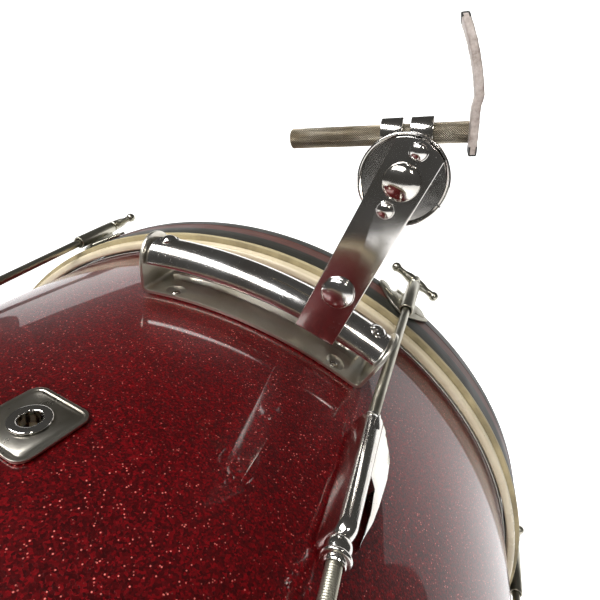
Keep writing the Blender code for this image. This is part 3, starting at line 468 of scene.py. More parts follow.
# %% plated finishes
def plated(name, colour, worn, gloss, haze, pitting):
    finish = Finish(name, colour, gloss, 1.0)
    tone = finish.ramp(finish.noise(38.0, 5.0), [(0.35, worn), (0.62, colour)])
    pits = finish.ramp(finish.cells(620.0).outputs["Distance"], [(0.05, 1.0), (0.16, 0.0)])
    where = finish.ramp(finish.noise(110.0, 3.0), [(0.50, 0.0), (0.66, pitting)])
    pits = finish.math("MULTIPLY", pits, where)
    finish.link(finish.mix(pits, tone, (0.035, 0.025, 0.018)), "Base Color")
    smears = finish.noise(24.0, 6.0, finish.stretched((1.0, 0.35, 1.4)), 0.68)
    cloud = finish.ramp(smears, [(0.38, gloss), (0.74, haze)])
    finish.link(finish.mix(pits, cloud, (0.6, 0.6, 0.6)), "Roughness")
    ripple = finish.bump(finish.noise(55.0, 2.0), 0.05, 0.0008)
    finish.link(finish.bump(finish.math("SUBTRACT", 1.0, pits), 0.30, 0.00015, ripple), "Normal")
    return finish.material


def knurled_brass():
    """Worn nickel over brass, with painted shade that darkens the grooves by their depth and leaves the peaks lighter.
    """
    finish = Finish("worn_nickel_on_brass", (0.50, 0.45, 0.35), 0.34, 1.0)
    groove = finish.node("ShaderNodeAttribute", attribute_name="groove").outputs["Fac"]
    worn = finish.ramp(finish.noise(70.0, 4.0), [(0.35, (0.42, 0.35, 0.24)), (0.65, (0.66, 0.61, 0.50))])
    # painted shade: the deeper a point lies in a groove, the darker its colour
    groove_shade = finish.ramp(groove, [(0.42, 0.0), (0.80, 1.0)])
    finish.link(finish.mix(groove_shade, worn, (0.050, 0.038, 0.024)), "Base Color")
    finish.link(finish.ramp(groove, [(0.2, 0.26), (0.8, 0.60)]), "Roughness")
    finish.link(finish.bump(finish.noise(900.0, 3.0), 0.2, 0.0001), "Normal")
    return finish.material


def rough_casting():
    finish = Finish("rough_casting", (0.50, 0.43, 0.40), 0.55, 0.55)
    blotches = finish.noise(150.0, 6.0, None, 0.7)
    base = finish.ramp(blotches, [(0.30, (0.14, 0.10, 0.085)), (0.46, (0.47, 0.40, 0.36)), (0.70, (0.74, 0.67, 0.63))])
    finish.link(base, "Base Color")
    finish.link(finish.ramp(finish.noise(420.0, 4.0), [(0.3, 0.38), (0.7, 0.70)]), "Roughness")
    finish.link(finish.bump(finish.noise(520.0, 6.0, None, 0.75), 0.6, 0.0006), "Normal")
    return finish.material


def dark_tip():
    finish = Finish("black_end_finish", (0.012, 0.011, 0.010), 0.55)
    finish.link(finish.ramp(finish.noise(400.0, 4.0), [(0.3, 0.42), (0.7, 0.68)]), "Roughness")
    finish.link(finish.bump(finish.noise(700.0, 3.0), 0.3, 0.0003), "Normal")
    return finish.material


LACQUER = shell_lacquer()
HOOP = hoop_lacquer()
CREAM = cream_paint()
FILM = head_film()
CHROME = plated("bright_chrome", (0.76, 0.74, 0.72), (0.64, 0.61, 0.56), 0.085, 0.20, 0.9)
BRUSHED = plated("rubbed_chrome", (0.78, 0.76, 0.74), (0.64, 0.60, 0.56), 0.125, 0.22, 0.9)
SATIN = plated("hazed_chrome", (0.80, 0.77, 0.69), (0.66, 0.62, 0.52), 0.30, 0.44, 0.5)
NICKEL = plated("dulled_nickel", (0.50, 0.48, 0.40), (0.36, 0.34, 0.275), 0.27, 0.42, 0.6)
KNURLED = knurled_brass()
BADGE = plated("badge_plate", (0.60, 0.57, 0.50), (0.42, 0.38, 0.31), 0.24, 0.38, 0.5)
CASTING = rough_casting()
DARK_ENDS = dark_tip()
print("finishes", len(bpy.data.materials))

# %% [markdown]
# ## Shell, heads and hoops
#
# All of these are turned about the drum's axis, so each is one profile and one spin. A mirror-like finish
# shows every facet, which is why the spins have several hundred steps here. Edges are rounded with a bevel.

# %% rings about the drum
ON_AXIS = Matrix.Translation(CENTRE) @ Matrix.Rotation(math.radians(90), 4, "X")
RING_STEPS = 288


def ring(name, section, side, material, node, rounding, closed=True, steps=RING_STEPS):
    bm = bmesh.new()
    turn(bm, [(radius, -side * y) for radius, y in section], steps, ON_AXIS, closed)
    soften(bm, rounding, 3, 40)
    return piece(name, bm, "drum", material, (node,))


# %% shell with its vent hole
SHELL_WALL = 6.4 * MM
BEARING_EDGE = 3.8 * MM
vent_low, vent_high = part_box("vent_grommet")
vent_middle = (vent_low + vent_high) / 2
vent_out = (vent_middle - CENTRE) * Vector((1, 0, 1))
vent_out.normalize()
VENT_Y = vent_middle.y
VENT_BORE = 5.0 * MM
BADGE_HALF = 15.0 * MM

inner = SHELL_RADIUS - SHELL_WALL
section = [
    (SHELL_RADIUS, -SHELL_HALF + BEARING_EDGE / 3),
    (SHELL_RADIUS - BEARING_EDGE / 3, -SHELL_HALF),
    (inner, -SHELL_HALF + BEARING_EDGE),
    (inner, VENT_Y - BADGE_HALF),
    (inner, VENT_Y + BADGE_HALF),
    (inner, SHELL_HALF - BEARING_EDGE),
    (SHELL_RADIUS - BEARING_EDGE / 3, SHELL_HALF),
    (SHELL_RADIUS, SHELL_HALF - BEARING_EDGE / 3),
    (SHELL_RADIUS, VENT_Y + BADGE_HALF * 0.7),
    (SHELL_RADIUS, VENT_Y - BADGE_HALF * 0.7),
]
shell = ring("drum_shell", section, 1, LACQUER, "shell", 0.6 * MM)
hole = bmesh.new()
turn(hole, [(0, -0.02), (VENT_BORE, -0.02), (VENT_BORE, 0.02), (0, 0.02)], 32, seat(vent_out, SHELL_RADIUS, VENT_Y))
drill(shell, [hole])
print("shell faces", len(shell.data.polygons))

# %% heads and cream bands
COLLAR = HEAD_RADIUS
FILM_THICKNESS = 0.5 * MM
HEAD_CORNER = 2.2 * MM
FLESH_INNER = HEAD_RADIUS + 1.2 * MM
FLESH_FRONT = HOOP_BACK - GAP

for side_name, side in SIDES:
    top = arc(COLLAR - HEAD_CORNER, HEAD_OUTSIDE - HEAD_CORNER, HEAD_CORNER, 90, 0, 6)
    under = arc(
        COLLAR - HEAD_CORNER, HEAD_OUTSIDE - HEAD_CORNER, HEAD_CORNER - FILM_THICKNESS, 0, 90, 6
    )
    section = [(0, HEAD_OUTSIDE), (SHELL_RADIUS * 0.5, HEAD_OUTSIDE)]
    section += top + [(COLLAR, FLESH_BACK + 1.5 * MM), (COLLAR - FILM_THICKNESS, FLESH_BACK + 1.5 * MM)] + under
    section += [(SHELL_RADIUS * 0.5, HEAD_OUTSIDE - FILM_THICKNESS), (0, HEAD_OUTSIDE - FILM_THICKNESS)]
    bm = bmesh.new()
    turn(bm, [(radius, -side * y) for radius, y in section], 192, ON_AXIS)
    piece(f"{side_name}_drum_head", bm, "drum", FILM, (f"{side_name}_head",))

    crown = FLESH_RADIUS - 0.2 * MM
    section = [
        (FLESH_INNER, FLESH_FRONT),
        (crown, FLESH_FRONT),
        (FLESH_RADIUS, (FLESH_FRONT + FLESH_BACK) / 2),
        (crown - 0.5 * MM, FLESH_BACK),
        (FLESH_INNER, FLESH_BACK),
    ]
    ring(
        f"{side_name}_cream_band", section, side, CREAM, f"{side_name}_flesh_hoop", 1.5 * MM
    )

# %% counter hoops
HOOP_WALL = 9.8 * MM
INLAY_DEPTH = 0.22 * MM
for side_name, side in SIDES:
    groove_start = HOOP_BACK + BLACK_END
    groove_end = HOOP_BACK + INLAY_END
    section = [
        (HOOP_RADIUS - HOOP_WALL, HOOP_BACK),
        (HOOP_RADIUS, HOOP_BACK),
        (HOOP_RADIUS, groove_start),
        (HOOP_RADIUS - INLAY_DEPTH, groove_start + INLAY_DEPTH),
        (HOOP_RADIUS - INLAY_DEPTH, groove_end - INLAY_DEPTH),
        (HOOP_RADIUS, groove_end),
        (HOOP_RADIUS, HOOP_FRONT),
        (HOOP_RADIUS - HOOP_WALL, HOOP_FRONT),
    ]
    bm = bmesh.new()
    turn(bm, [(radius, -side * y) for radius, y in section], RING_STEPS, ON_AXIS, True)
    soften(bm, 1.0 * MM, 3, 60)
    piece(f"{side_name}_counter_hoop", bm, "drum", HOOP, (f"{side_name}_hoop",))

# %% [markdown]
# ## Lugs and swivel nuts
#
# A lug is a die casting: a tall spine with a rounded crest, and one low wing that sweeps back to a point.
# The spine is its side outline extruded to its width, and the wing is its plan outline raised and then
# sloped. The swivel nuts are turned, with a ball, a flange and a collar.

# %% lug casting
LUG_WIDTH = 12 * MM
LUG_HEIGHT = 18.5 * MM
LUG_NOSE = 7 * MM
WING_REACH = 17.2 * MM
WING_ROOT_HEIGHT = 16.6 * MM
WING_RIM_HEIGHT = 6.2 * MM


def lug_shape(bm, matrix):
    half = LUG_HALF
    foot = GAP
    crest = LUG_HEIGHT
    side = [(-half, foot), (half, foot)]
    side += arc(half - LUG_NOSE, crest - LUG_NOSE, LUG_NOSE, 0, 90, 6)
    side += arc(LUG_NOSE - half, crest - LUG_NOSE, LUG_NOSE, 90, 180, 6)
    stand = Matrix(((0, 0, 1, 0), (1, 0, 0, 0), (0, 1, 0, 0), (0, 0, 0, 1)))
    spine = slab(bm, side, -LUG_WIDTH / 2, LUG_WIDTH / 2, stand)
    for vert in spine:
        taper = 1 - 0.16 * (half + vert.co.y) / (2 * half)
        crown = 1 - 0.30 * (vert.co.z / crest) ** 2
        vert.co.x *= taper * crown
    soften(bm, 3.5 * MM, 6, 50, spine)
    spine_verts = set(bm.verts)

    rim = flowing([(WING_REACH * 0.48, -half * 0.95), (WING_REACH, -half * 0.70)], 6)
    rim += flowing([(WING_REACH * 1.02, -half * 0.40), (WING_REACH * 0.90, half * 0.12)], 4)
    rim += flowing([(WING_REACH * 0.86, half * 0.24), (WING_REACH * 0.62, half * 0.78)], 5)
    back = flowing([(WING_REACH * 0.66, half * 0.34), (WING_REACH * 0.56, half * 0.06)], 4)
    outline = [(0, -half * 0.95)] + [(-x, y) for x, y in rim + back] + [(0, -half * 0.02)]
    slab(bm, outline, 2 * GAP, WING_RIM_HEIGHT)
    for axis, reach in ((0, range(-9, 1)), (1, range(-18, 16))):
        wing = [vert for vert in bm.verts if vert not in spine_verts]
        edges = {edge for vert in wing for edge in vert.link_edges}
        faces = {face for vert in wing for face in vert.link_faces}
        normal = Vector((1 - axis, axis, 0))
        for index in reach:
            geom = wing + list(edges) + list(faces)
            bmesh.ops.bisect_plane(bm, geom=geom, plane_co=normal * index * 2 * MM, plane_no=normal)
            wing = [vert for vert in bm.verts if vert not in spine_verts]
            edges = {edge for vert in wing for edge in vert.link_edges}
            faces = {face for vert in wing for face in vert.link_faces}
    for vert in wing:
        if vert.co.z > GAP * 3:
            share = min(1.0, -vert.co.x / WING_REACH)
            sink = 1 - 0.45 * max(0.0, vert.co.y / half)
            vert.co.z = (WING_ROOT_HEIGHT + (WING_RIM_HEIGHT - WING_ROOT_HEIGHT) * share**1.25) * sink
    soften(bm, 0.8 * MM, 3, 60, wing)
    leaf_low = -half + 3.2 * MM
    leaf = [(0.9 * MM * math.sin(bend) * (1.9 - math.cos(bend)), leaf_low + 5.5 * MM * (1 - math.cos(bend)))
            for bend in (math.tau * index / 24 for index in range(24))]
    before = set(bm.verts)
    slab(bm, leaf, crest - 1.0 * MM, crest + 0.15 * MM)
    soften(bm, 0.35 * MM, 2, 60, [vert for vert in bm.verts if vert not in before])
    bmesh.ops.transform(bm, matrix=matrix, verts=bm.verts)


for number in LUGS:
    bm = bmesh.new()
    lug_shape(bm, seat(lug_out(number), SHELL_RADIUS, 0))
    piece(f"lug_casting_{number}", bm, "drum", CHROME, (f"lug_{number}",), 40)

# %% swivel nuts
ROD_RADIUS = 3.0 * MM
NUT_BORE = ROD_RADIUS + 0.35 * MM
NUT_PROFILE = [
    (NUT_BORE, -2.5 * MM),
    *arc(0, 1.6 * MM, 5.1 * MM, -40, 30, 8),
    (4.1 * MM, 5.0 * MM),
    *arc(5.0 * MM, 6.1 * MM, 0.9 * MM, -90, 90, 6),
    (4.1 * MM, 7.2 * MM),
    (4.1 * MM, 8.6 * MM),
    (3.8 * MM, 9.0 * MM),
    (NUT_BORE, 9.0 * MM),
]
SHORT_NUT_PROFILE = [
    (NUT_BORE, -2.5 * MM),
    (4.0 * MM, -2.5 * MM),
    (4.0 * MM, 0.5 * MM),
    (3.7 * MM, 0.9 * MM),
    (NUT_BORE, 0.9 * MM),
]
NUTS = {"front": SHORT_NUT_PROFILE, "batter": NUT_PROFILE}
for side_name, side in SIDES:
    for number in LUGS:
        bm = bmesh.new()
        turn(bm, NUTS[side_name], 40, rod_frame(side_name, side, number), True)
        piece(f"swivel_nut_{side_name}_{number}", bm, "drum", CHROME)

# %% [markdown]
# ## Tension rods and claws
#
# A rod has a rolled thread at the lug's end and a crossbar at the other. The crossbar is bone shaped: it
# swells at the hub, narrows, and ends in a ball. The claw is a pressing with two wings of different shape,
# a tongue over the hoop's face and a tube for the rod.

# %% tension rods
HANDLE_PLANE = HOOP_FRONT + 15 * MM
ROD_START = -13 * MM
THREAD_PITCH = 0.95 * MM
THREAD_DEPTH = 0.22 * MM
THREAD_SHOWN = {"front": 0, "batter": 32}
THREAD_BEGIN = 9.2 * MM
BAR_HALF = 22.4 * MM
BALL = 3.8 * MM


def bone_profile():
    half = [(4.0 * MM, 0.0), (3.9 * MM, 5.0 * MM), (2.5 * MM, 12.0 * MM), (2.8 * MM, 17.0 * MM)]
    side = flowing(half, 4)
    side += arc(0, BAR_HALF - BALL, BALL, -40, 90, 10)
    return [(max(x, 0), -y) for x, y in reversed(side)] + [(max(x, 0), y) for x, y in side[1:]]


def tension_rod(bm, side_name, matrix, length):
    profile = [(0, ROD_START), (ROD_RADIUS - THREAD_DEPTH, ROD_START), (ROD_RADIUS, ROD_START + 0.5 * MM)]
    for index in range(THREAD_SHOWN[side_name]):
        low = THREAD_BEGIN + index * THREAD_PITCH
        profile.append((ROD_RADIUS, low))
        profile.append((ROD_RADIUS - THREAD_DEPTH, low + THREAD_PITCH * 0.5))
    hub_low = length - 6.5 * MM
    profile += [(ROD_RADIUS * 0.97, THREAD_BEGIN + 33 * MM), (ROD_RADIUS, hub_low)]
    profile += [(3.9 * MM, hub_low + 0.3 * MM), (4.4 * MM, hub_low + 0.9 * MM)]
    profile += [(4.3 * MM, length + 2.4 * MM), *arc(0, length + 0.9 * MM, 4.2 * MM, 24, 90, 5)[:-1]]
    profile += [(0, length + 4.6 * MM)]
    turn(bm, profile, 28, matrix)
    cross = Matrix.Translation((0, 0, length)) @ Matrix.Rotation(math.radians(90), 4, "Y")
    turn(bm, bone_profile(), 24, matrix @ cross)


for side_name, side in SIDES:
    for number in LUGS:
        place, aim = rod_joint(side_name, number)
        length = (HANDLE_PLANE - LUG_HALF) / abs(aim.y)
        bm = bmesh.new()
        tension_rod(bm, side_name, rod_frame(side_name, side, number), length)
        name = f"tension_rod_{side_name}_{number}"
        piece(f"crossbar_rod_{side_name}_{number}", bm, name + "_body", NICKEL, (name,), 32)

# %% claws
CLAW_PLATE = 2.2 * MM
CLAW_HALF = 23.4 * MM
CLAW_REACH = 29.8 * MM
TONGUE_HALF = 8.5 * MM
TUBE_OUTER = 4.9 * MM
TUBE_INNER = 3.65 * MM
TUBE_LENGTH = 43.5 * MM
TUBE_FRONT = 7 * MM


def wing_outline():
    """One round of the claw: right wing with a lobe and a pointed tip, left wing a hooked crescent."""
    right = [(0.10, -1.0), (0.22, -0.97), (0.40, -0.84), (0.60, -0.69), (0.80, -0.52), (0.95, -0.37), (1.0, -0.27)]
    right += [(0.97, -0.21), (0.86, -0.22), (0.80, -0.15), (0.72, -0.05), (0.58, 0.0), (0.46, -0.03), (0.38, -0.02)]
    left = [(0.38, -0.05), (0.42, -0.18), (0.50, -0.24), (0.58, -0.20), (0.66, -0.08), (0.76, -0.01), (0.90, 0.0)]
    left += [(1.0, -0.05), (1.0, -0.18), (0.92, -0.34), (0.78, -0.52), (0.60, -0.70), (0.40, -0.87), (0.10, -1.0)]
    points = [(x * CLAW_HALF, y * CLAW_REACH) for x, y in right]
    points += [(-x * CLAW_HALF, y * CLAW_REACH) for x, y in left]
    return points


def teardrop(side):
    """The raised leaf pressed into each wing."""
    middle_x = side * 0.62 * CLAW_HALF
    middle_y = -0.42 * CLAW_REACH
    turned = math.radians(38 * side)
    points = []
    for index in range(20):
        bend = math.tau * index / 20
        x = 5.4 * MM * math.cos(bend)
        y = 2.1 * MM * math.sin(bend) * (0.62 + 0.38 * math.cos(bend) * side)
        points.append(
            (
                middle_x + x * math.cos(turned) - y * math.sin(turned),
                middle_y + x * math.sin(turned) + y * math.cos(turned),
            )
        )
    return points


def claw(bm, flip, matrix, rod, tube_end):
    """The pressing lies flat first, and is then bent round the hoop."""
    shapes = [slab(bm, wing_outline(), 0, CLAW_PLATE)]
    soften(bm, 0.7 * MM, 2, 50)
    for side in (-1, 1):
        old = set(bm.verts)
        slab(bm, teardrop(side), CLAW_PLATE - 0.3 * MM, CLAW_PLATE + 0.55 * MM)
        leaf = [vert for vert in bm.verts if vert not in old]
        soften(bm, 0.5 * MM, 2, 50, leaf)
    for index in range(-11, 12):
        geom = list(bm.verts) + list(bm.edges) + list(bm.faces)
        bmesh.ops.bisect_plane(bm, geom=geom, plane_co=(index * 2 * MM, 0, 0), plane_no=(1, 0, 0))
    for vert in bm.verts:
        bend = vert.co.x / HOOP_RADIUS
        reach = HOOP_RADIUS + GAP + vert.co.z
        vert.co.x = flip * reach * math.sin(bend)
        vert.co.z = reach * math.cos(bend) - HOOP_RADIUS
    tongue = block(bm, (-TONGUE_HALF, GAP, -8.3 * MM), (TONGUE_HALF, GAP + CLAW_PLATE, CLAW_PLATE))
    saddle = block(bm, (-TONGUE_HALF, -5 * MM, GAP * 1.5), (TONGUE_HALF, GAP + CLAW_PLATE, CLAW_PLATE + GAP))
    web = block(bm, (-2.6 * MM, -0.93 * CLAW_REACH, 1.0 * MM), (2.6 * MM, GAP + CLAW_PLATE, 7.4 * MM))
    soften(bm, 0.8 * MM, 2, 60, tongue + saddle + web)
    bmesh.ops.transform(bm, matrix=matrix, verts=bm.verts)
    low = tube_end - TUBE_LENGTH
    rounding = (TUBE_OUTER - TUBE_INNER) / 2
    middle = (TUBE_OUTER + TUBE_INNER) / 2
    profile = arc(middle, low + rounding, rounding, 180, 360, 6)
    profile += arc(middle, tube_end - rounding, rounding, 0, 180, 6)
    turn(bm, profile, 36, rod, True)


for side_name, side in SIDES:
    for number in LUGS:
        _, aim = rod_joint(side_name, number)
        tube_end = (HOOP_FRONT + TUBE_FRONT - LUG_HALF) / abs(aim.y)
        bm = bmesh.new()
        place = seat(lug_out(number), HOOP_RADIUS, side * HOOP_FRONT, side)
        claw(bm, 1, place, rod_frame(side_name, side, number), tube_end)
        name = f"claw_{side_name}_{number}"
        piece(f"winged_{name}", bm, "drum", NICKEL, (name,), 38)
print("pieces so far", len(made_pieces))

# %% [markdown]
# ## Vent and badge
#
# The badge is a thin plated square with round corners and a raised rim, and the vent's grommet clamps it to
# the shell. It carries no lettering here, only a plain sunk field.

# %% badge and grommet
def rounded_square(half, corner):
    centre = half - corner
    points = []
    for index in range(4):
        start = 90 * index
        sign_x = 1 if index in (0, 3) else -1
        sign_y = 1 if index in (0, 1) else -1
        points += arc(sign_x * centre, sign_y * centre, corner, start, start + 90, 6)
    return points


BADGE_TURN = math.radians(-9)
badge_seat = seat(vent_out, SHELL_RADIUS, VENT_Y) @ Matrix.Rotation(BADGE_TURN, 4, "Z")
bm = bmesh.new()
slab(bm, rounded_square(BADGE_HALF, 5 * MM), GAP, GAP + 1.2 * MM)
top_face = max(bm.faces, key=lambda face: face.calc_center_median().z)
bmesh.ops.inset_region(bm, faces=[top_face], thickness=1.3 * MM, depth=0)
bmesh.ops.inset_region(bm, faces=[top_face], thickness=0.35 * MM, depth=-0.35 * MM)
bmesh.ops.inset_region(bm, faces=[top_face], thickness=1.0 * MM, depth=0)
bmesh.ops.inset_region(bm, faces=[top_face], thickness=0.3 * MM, depth=0.2 * MM)
soften(bm, 0.12 * MM, 2, 40)
bmesh.ops.transform(bm, matrix=badge_seat, verts=bm.verts)
badge = piece("vent_badge", bm, "drum", BADGE, ("badge",))
hole = bmesh.new()
turn(hole, [(0, -0.01), (5.4 * MM, -0.01), (5.4 * MM, 0.01), (0, 0.01)], 40, badge_seat)
drill(badge, [hole])

flange = 2 * GAP + 1.2 * MM
profile = [(4.2 * MM, -SHELL_WALL - 1.2 * MM - 1.0 * MM), (7.75 * MM, -SHELL_WALL - 2.2 * MM)]
profile += [(7.75 * MM, -SHELL_WALL - 1.2 * MM), (4.9 * MM, -SHELL_WALL - 1.2 * MM), (4.9 * MM, flange)]
profile += [(7.6 * MM, flange), *arc(6.9 * MM, flange + 0.2 * MM, 0.8 * MM, 0, 90, 4)]
profile += arc(5.0 * MM, flange + 0.2 * MM, 0.8 * MM, 90, 180, 4)
bm = bmesh.new()
turn(bm, profile, 48, seat(vent_out, SHELL_RADIUS, VENT_Y), True)
piece("vent_eyelet", bm, "drum", CHROME, ("vent_grommet",))

# %% [markdown]
# ## The tom holder's rail
#
# The rail is a curved channel with two end walls, pressed from plate, that carries a half-round bar. The
# channel follows the drum's curve, so its sheet is one row of edges extruded along the drum, given its
# thickness and cut to the bar's outline at the walls. The bar is a half circle carried round the arc.

# %% rail sizes from its solids
rail_low, rail_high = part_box("rail_base")
RAIL_NEAR = rail_high.y
RAIL_FAR = rail_low.y
RAIL_MIDDLE_Y = -79.3 * MM
RAIL_FLOOR = SHELL_RADIUS + 0.45 * MM
BAR_RADIUS = 13 * MM
BAR_UNDER = SHELL_RADIUS + 17 * MM
RAIL_START = -28.5
RAIL_END = 2.9
SHEET = 2.0 * MM
CORNER = 4.0 * MM
STEP_TOP = RAIL_FLOOR + 7.2 * MM
STEP_NEAR = RAIL_NEAR - 20 * MM
WALL_RADIUS = RAIL_NEAR - RAIL_MIDDLE_Y
DEGREE = math.degrees(1 / SHELL_RADIUS)


def wall_top(y):
    """The end wall's height above the bar's flat, over the bar's own round."""
    share = max(0.0, 1 - ((y - RAIL_MIDDLE_Y) / WALL_RADIUS) ** 2)
    return BAR_UNDER + (BAR_RADIUS + 3 * MM) * math.sqrt(share)


def channel_path():
    """(angle, radius, share up the wall) down one wall, along the floor and up the other."""
    corner_degrees = CORNER * DEGREE
    path = [(0.0, RAIL_FLOOR + CORNER, share / 8) for share in range(8, 0, -1)]
    for bend in range(0, 91, 15):
        turned = math.radians(bend)
        path.append((corner_degrees * (1 - math.cos(turned)), RAIL_FLOOR + CORNER * (1 - math.sin(turned)), 0.0))
    span = RAIL_END - RAIL_START
    mirrored = [(span - angle, radius, share) for angle, radius, share in reversed(path)]
    floor = [(corner_degrees + (span - 2 * corner_degrees) * index / 72, RAIL_FLOOR, 0.0) for index in range(1, 72)]
    return [(RAIL_END - angle, radius, share) for angle, radius, share in path + floor + mirrored]


def swept(bm, section, start, end, steps):
    """A closed section of (radius, y) carried round the drum's axis between two angles."""
    old = set(bm.verts)
    turned = Matrix.Rotation(math.radians(start), 3, "Y")
    face = bm.faces.new([bm.verts.new(turned @ Vector((0, y, radius))) for radius, y in section])
    sweep = math.radians(end - start)
    bmesh.ops.spin(bm, geom=[face], cent=(0, 0, 0), axis=(0, 1, 0), angle=sweep, steps=steps)
    made = [vert for vert in bm.verts if vert not in old]
    bmesh.ops.translate(bm, verts=made, vec=CENTRE)
    return made


# %% rail channel
ROWS = 28
bm = bmesh.new()
path = channel_path()
row_y = [RAIL_NEAR + (RAIL_FAR - RAIL_NEAR) * index / ROWS for index in range(ROWS + 1)]
verts = []
for angle, radius, share in path:
    reach = radius + share * (wall_top(RAIL_NEAR) - radius)
    verts.append(bm.verts.new(CENTRE + radial(angle) * reach + Vector((0, RAIL_NEAR, 0))))
edges = [bm.edges.new(pair) for pair in zip(verts, verts[1:])]
for y in row_y[1:]:
    raised = bmesh.ops.extrude_edge_only(bm, edges=edges)
    verts = [item for item in raised["geom"] if isinstance(item, bmesh.types.BMVert)]
    edges = [item for item in raised["geom"] if isinstance(item, bmesh.types.BMEdge)]
    bmesh.ops.translate(bm, verts=verts, vec=(0, RAIL_FAR / ROWS - RAIL_NEAR / ROWS, 0))
wall_foot = RAIL_FLOOR + CORNER
low_edge = wall_top(RAIL_NEAR)
for vert in bm.verts:
    flat = vert.co - CENTRE
    out = Vector((flat.x, 0, flat.z))
    if out.length > wall_foot + 1e-6:
        share = (out.length - wall_foot) / (low_edge - wall_foot)
        reach = wall_foot + share * (wall_top(flat.y) - wall_foot)
        vert.co = CENTRE + out.normalized() * reach + Vector((0, flat.y, 0))
bmesh.ops.recalc_face_normals(bm, faces=bm.faces)
floor_face = min(bm.faces, key=lambda face: (face.calc_center_median() - CENTRE).length)
floor_out = floor_face.calc_center_median() - CENTRE
floor_out.y = 0
if floor_face.normal.dot(floor_out) > 0:
    bmesh.ops.reverse_faces(bm, faces=bm.faces)
bmesh.ops.solidify(bm, geom=list(bm.faces), thickness=SHEET)
soften(bm, 0.35 * MM, 2, 60)
step = [(RAIL_FLOOR + 0.6 * MM, RAIL_FAR + GAP), (STEP_TOP, RAIL_FAR + GAP), (STEP_TOP, STEP_NEAR)]
step.append((RAIL_FLOOR + 0.6 * MM, STEP_NEAR))
inset = 8 * MM * DEGREE
step_verts = swept(bm, step, RAIL_START + inset, RAIL_END - inset, 72)
soften(bm, 0.9 * MM, 3, 50, step_verts)
for face in bm.faces:
    middle = face.calc_center_median() - CENTRE
    round_from_top = math.degrees(math.atan2(middle.x, middle.z))
    over_step = RAIL_START + inset - 0.3 < round_from_top < RAIL_END - inset + 0.3
    raised = math.hypot(middle.x, middle.z) > RAIL_FLOOR + SHEET + 0.05 * MM
    face.material_index = 1 if over_step and raised else 0
channel = piece("rail_channel", bm, "drum", (SATIN, CHROME), ("rail_base",))

# %% countersunk holes in the channel, each with its screw
HOLE_Y = RAIL_NEAR - 7.2 * MM
HOLE_INSET = 4.2
dimples = []
for angle in (RAIL_START + HOLE_INSET, RAIL_END - HOLE_INSET):
    place = seat(radial(angle), RAIL_FLOOR, HOLE_Y)
    bm = bmesh.new()
    bowl = [(0, 0.4 * MM), (3.0 * MM, 0.4 * MM), (5.6 * MM, SHEET - 0.2 * MM), (6.5 * MM, SHEET + 0.6 * MM)]
    turn(bm, bowl + [(0, SHEET + 0.6 * MM)], 40, place)
    dimples.append(bm)
drill(channel, dimples)
for index, angle in enumerate((RAIL_START + HOLE_INSET, RAIL_END - HOLE_INSET), 1):
    place = seat(radial(angle), RAIL_FLOOR, HOLE_Y)
    bm = bmesh.new()
    turn(bm, [(0, 0.45 * MM), (2.8 * MM, 0.45 * MM), *arc(0, -2.4 * MM, 4.1 * MM, 47, 90, 6)], 32, place)
    piece(f"channel_screw_{index}", bm, "drum", CHROME)

# %% half-round bar
bar_inset = (2.0 * MM + GAP) * DEGREE
section = []
for bend in range(0, 181, 6):
    turned = math.radians(bend)
    section.append((BAR_UNDER + BAR_RADIUS * math.sin(turned), RAIL_MIDDLE_Y + BAR_RADIUS * math.cos(turned)))
bm = bmesh.new()
bar_verts = swept(bm, section, RAIL_START + bar_inset, RAIL_END - bar_inset, 96)
soften(bm, 0.4 * MM, 2, 60, bar_verts)
piece("half_round_bar", bm, "drum", BRUSHED, ("rail_bar",))

# %% bar screws
SCREW_HEIGHT = BAR_UNDER + BAR_RADIUS
for side_name in ("left", "right"):
    low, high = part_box("rail_screw_" + side_name)
    out = (low + high) / 2 - CENTRE
    out.y = 0
    place = seat(out.normalized(), SCREW_HEIGHT, RAIL_MIDDLE_Y)
    bm = bmesh.new()
    washer = [(0, -1.2 * MM), (5.4 * MM, -1.2 * MM), (5.6 * MM, -0.2 * MM), (5.1 * MM, 0.2 * MM), (4.3 * MM, 0.2 * MM)]
    dome = arc(0, -3.4 * MM, 5.6 * MM, 42, 90, 7)
    turn(bm, washer + dome, 40, place)
    screw = piece("bar_screw_" + side_name, bm, "drum", CHROME, ("rail_screw_" + side_name,))
    slot_cut = bmesh.new()
    turned = place @ Matrix.Rotation(math.radians(35), 4, "Z")
    block(slot_cut, (-8 * MM, -0.5 * MM, 1.3 * MM), (8 * MM, 0.5 * MM, 5 * MM), turned)
    drill(screw, [slot_cut])

# %% [markdown]
# ## Holder arm, jaw and their bolts
#
# Arm and jaw are strips of plate with a hook at the foot, clamped to the bar by one bolt. The plate's
# edges were ground, so they carry a fine bevel that catches a line of light. The bolts are domed.

# %% arm frame and strips
pivot = Vector(joints["tilter_pivot"]["pos_m"])
arm_out = pivot - CENTRE
PIVOT_RADIUS = (arm_out * Vector((1, 0, 1))).length
arm_out = (arm_out * Vector((1, 0, 1))).normalized()
ARM_BACK = RAIL_MIDDLE_Y + BAR_RADIUS + GAP
ARM_THICK = 2.8 * MM
ARM_FRONT = ARM_BACK + ARM_THICK
JAW_FACE = RAIL_MIDDLE_Y - BAR_RADIUS - GAP
JAW_BACK = JAW_FACE - ARM_THICK
ARM_HALF = 11.5 * MM
HOOK_DEPTH = 12 * MM
along = Vector((0, 1, 0))


def arm_frame(radius):
    """X across the arm, Y out along it, Z along the drum's axis."""
    return basis(CENTRE + arm_out * radius, arm_out.cross(along), arm_out, along)


PIVOT_FRAME = arm_frame(PIVOT_RADIUS)
to_pivot = PIVOT_FRAME.inverted()
arm_nodes = frame["nodes"]["holder_arm"].data.vertices
ARM_FOOT = min((to_pivot @ vert.co).y for vert in arm_nodes)
ARM_TOP = max((to_pivot @ vert.co).y for vert in arm_nodes)

FOOT_BEND = 2.3 * MM


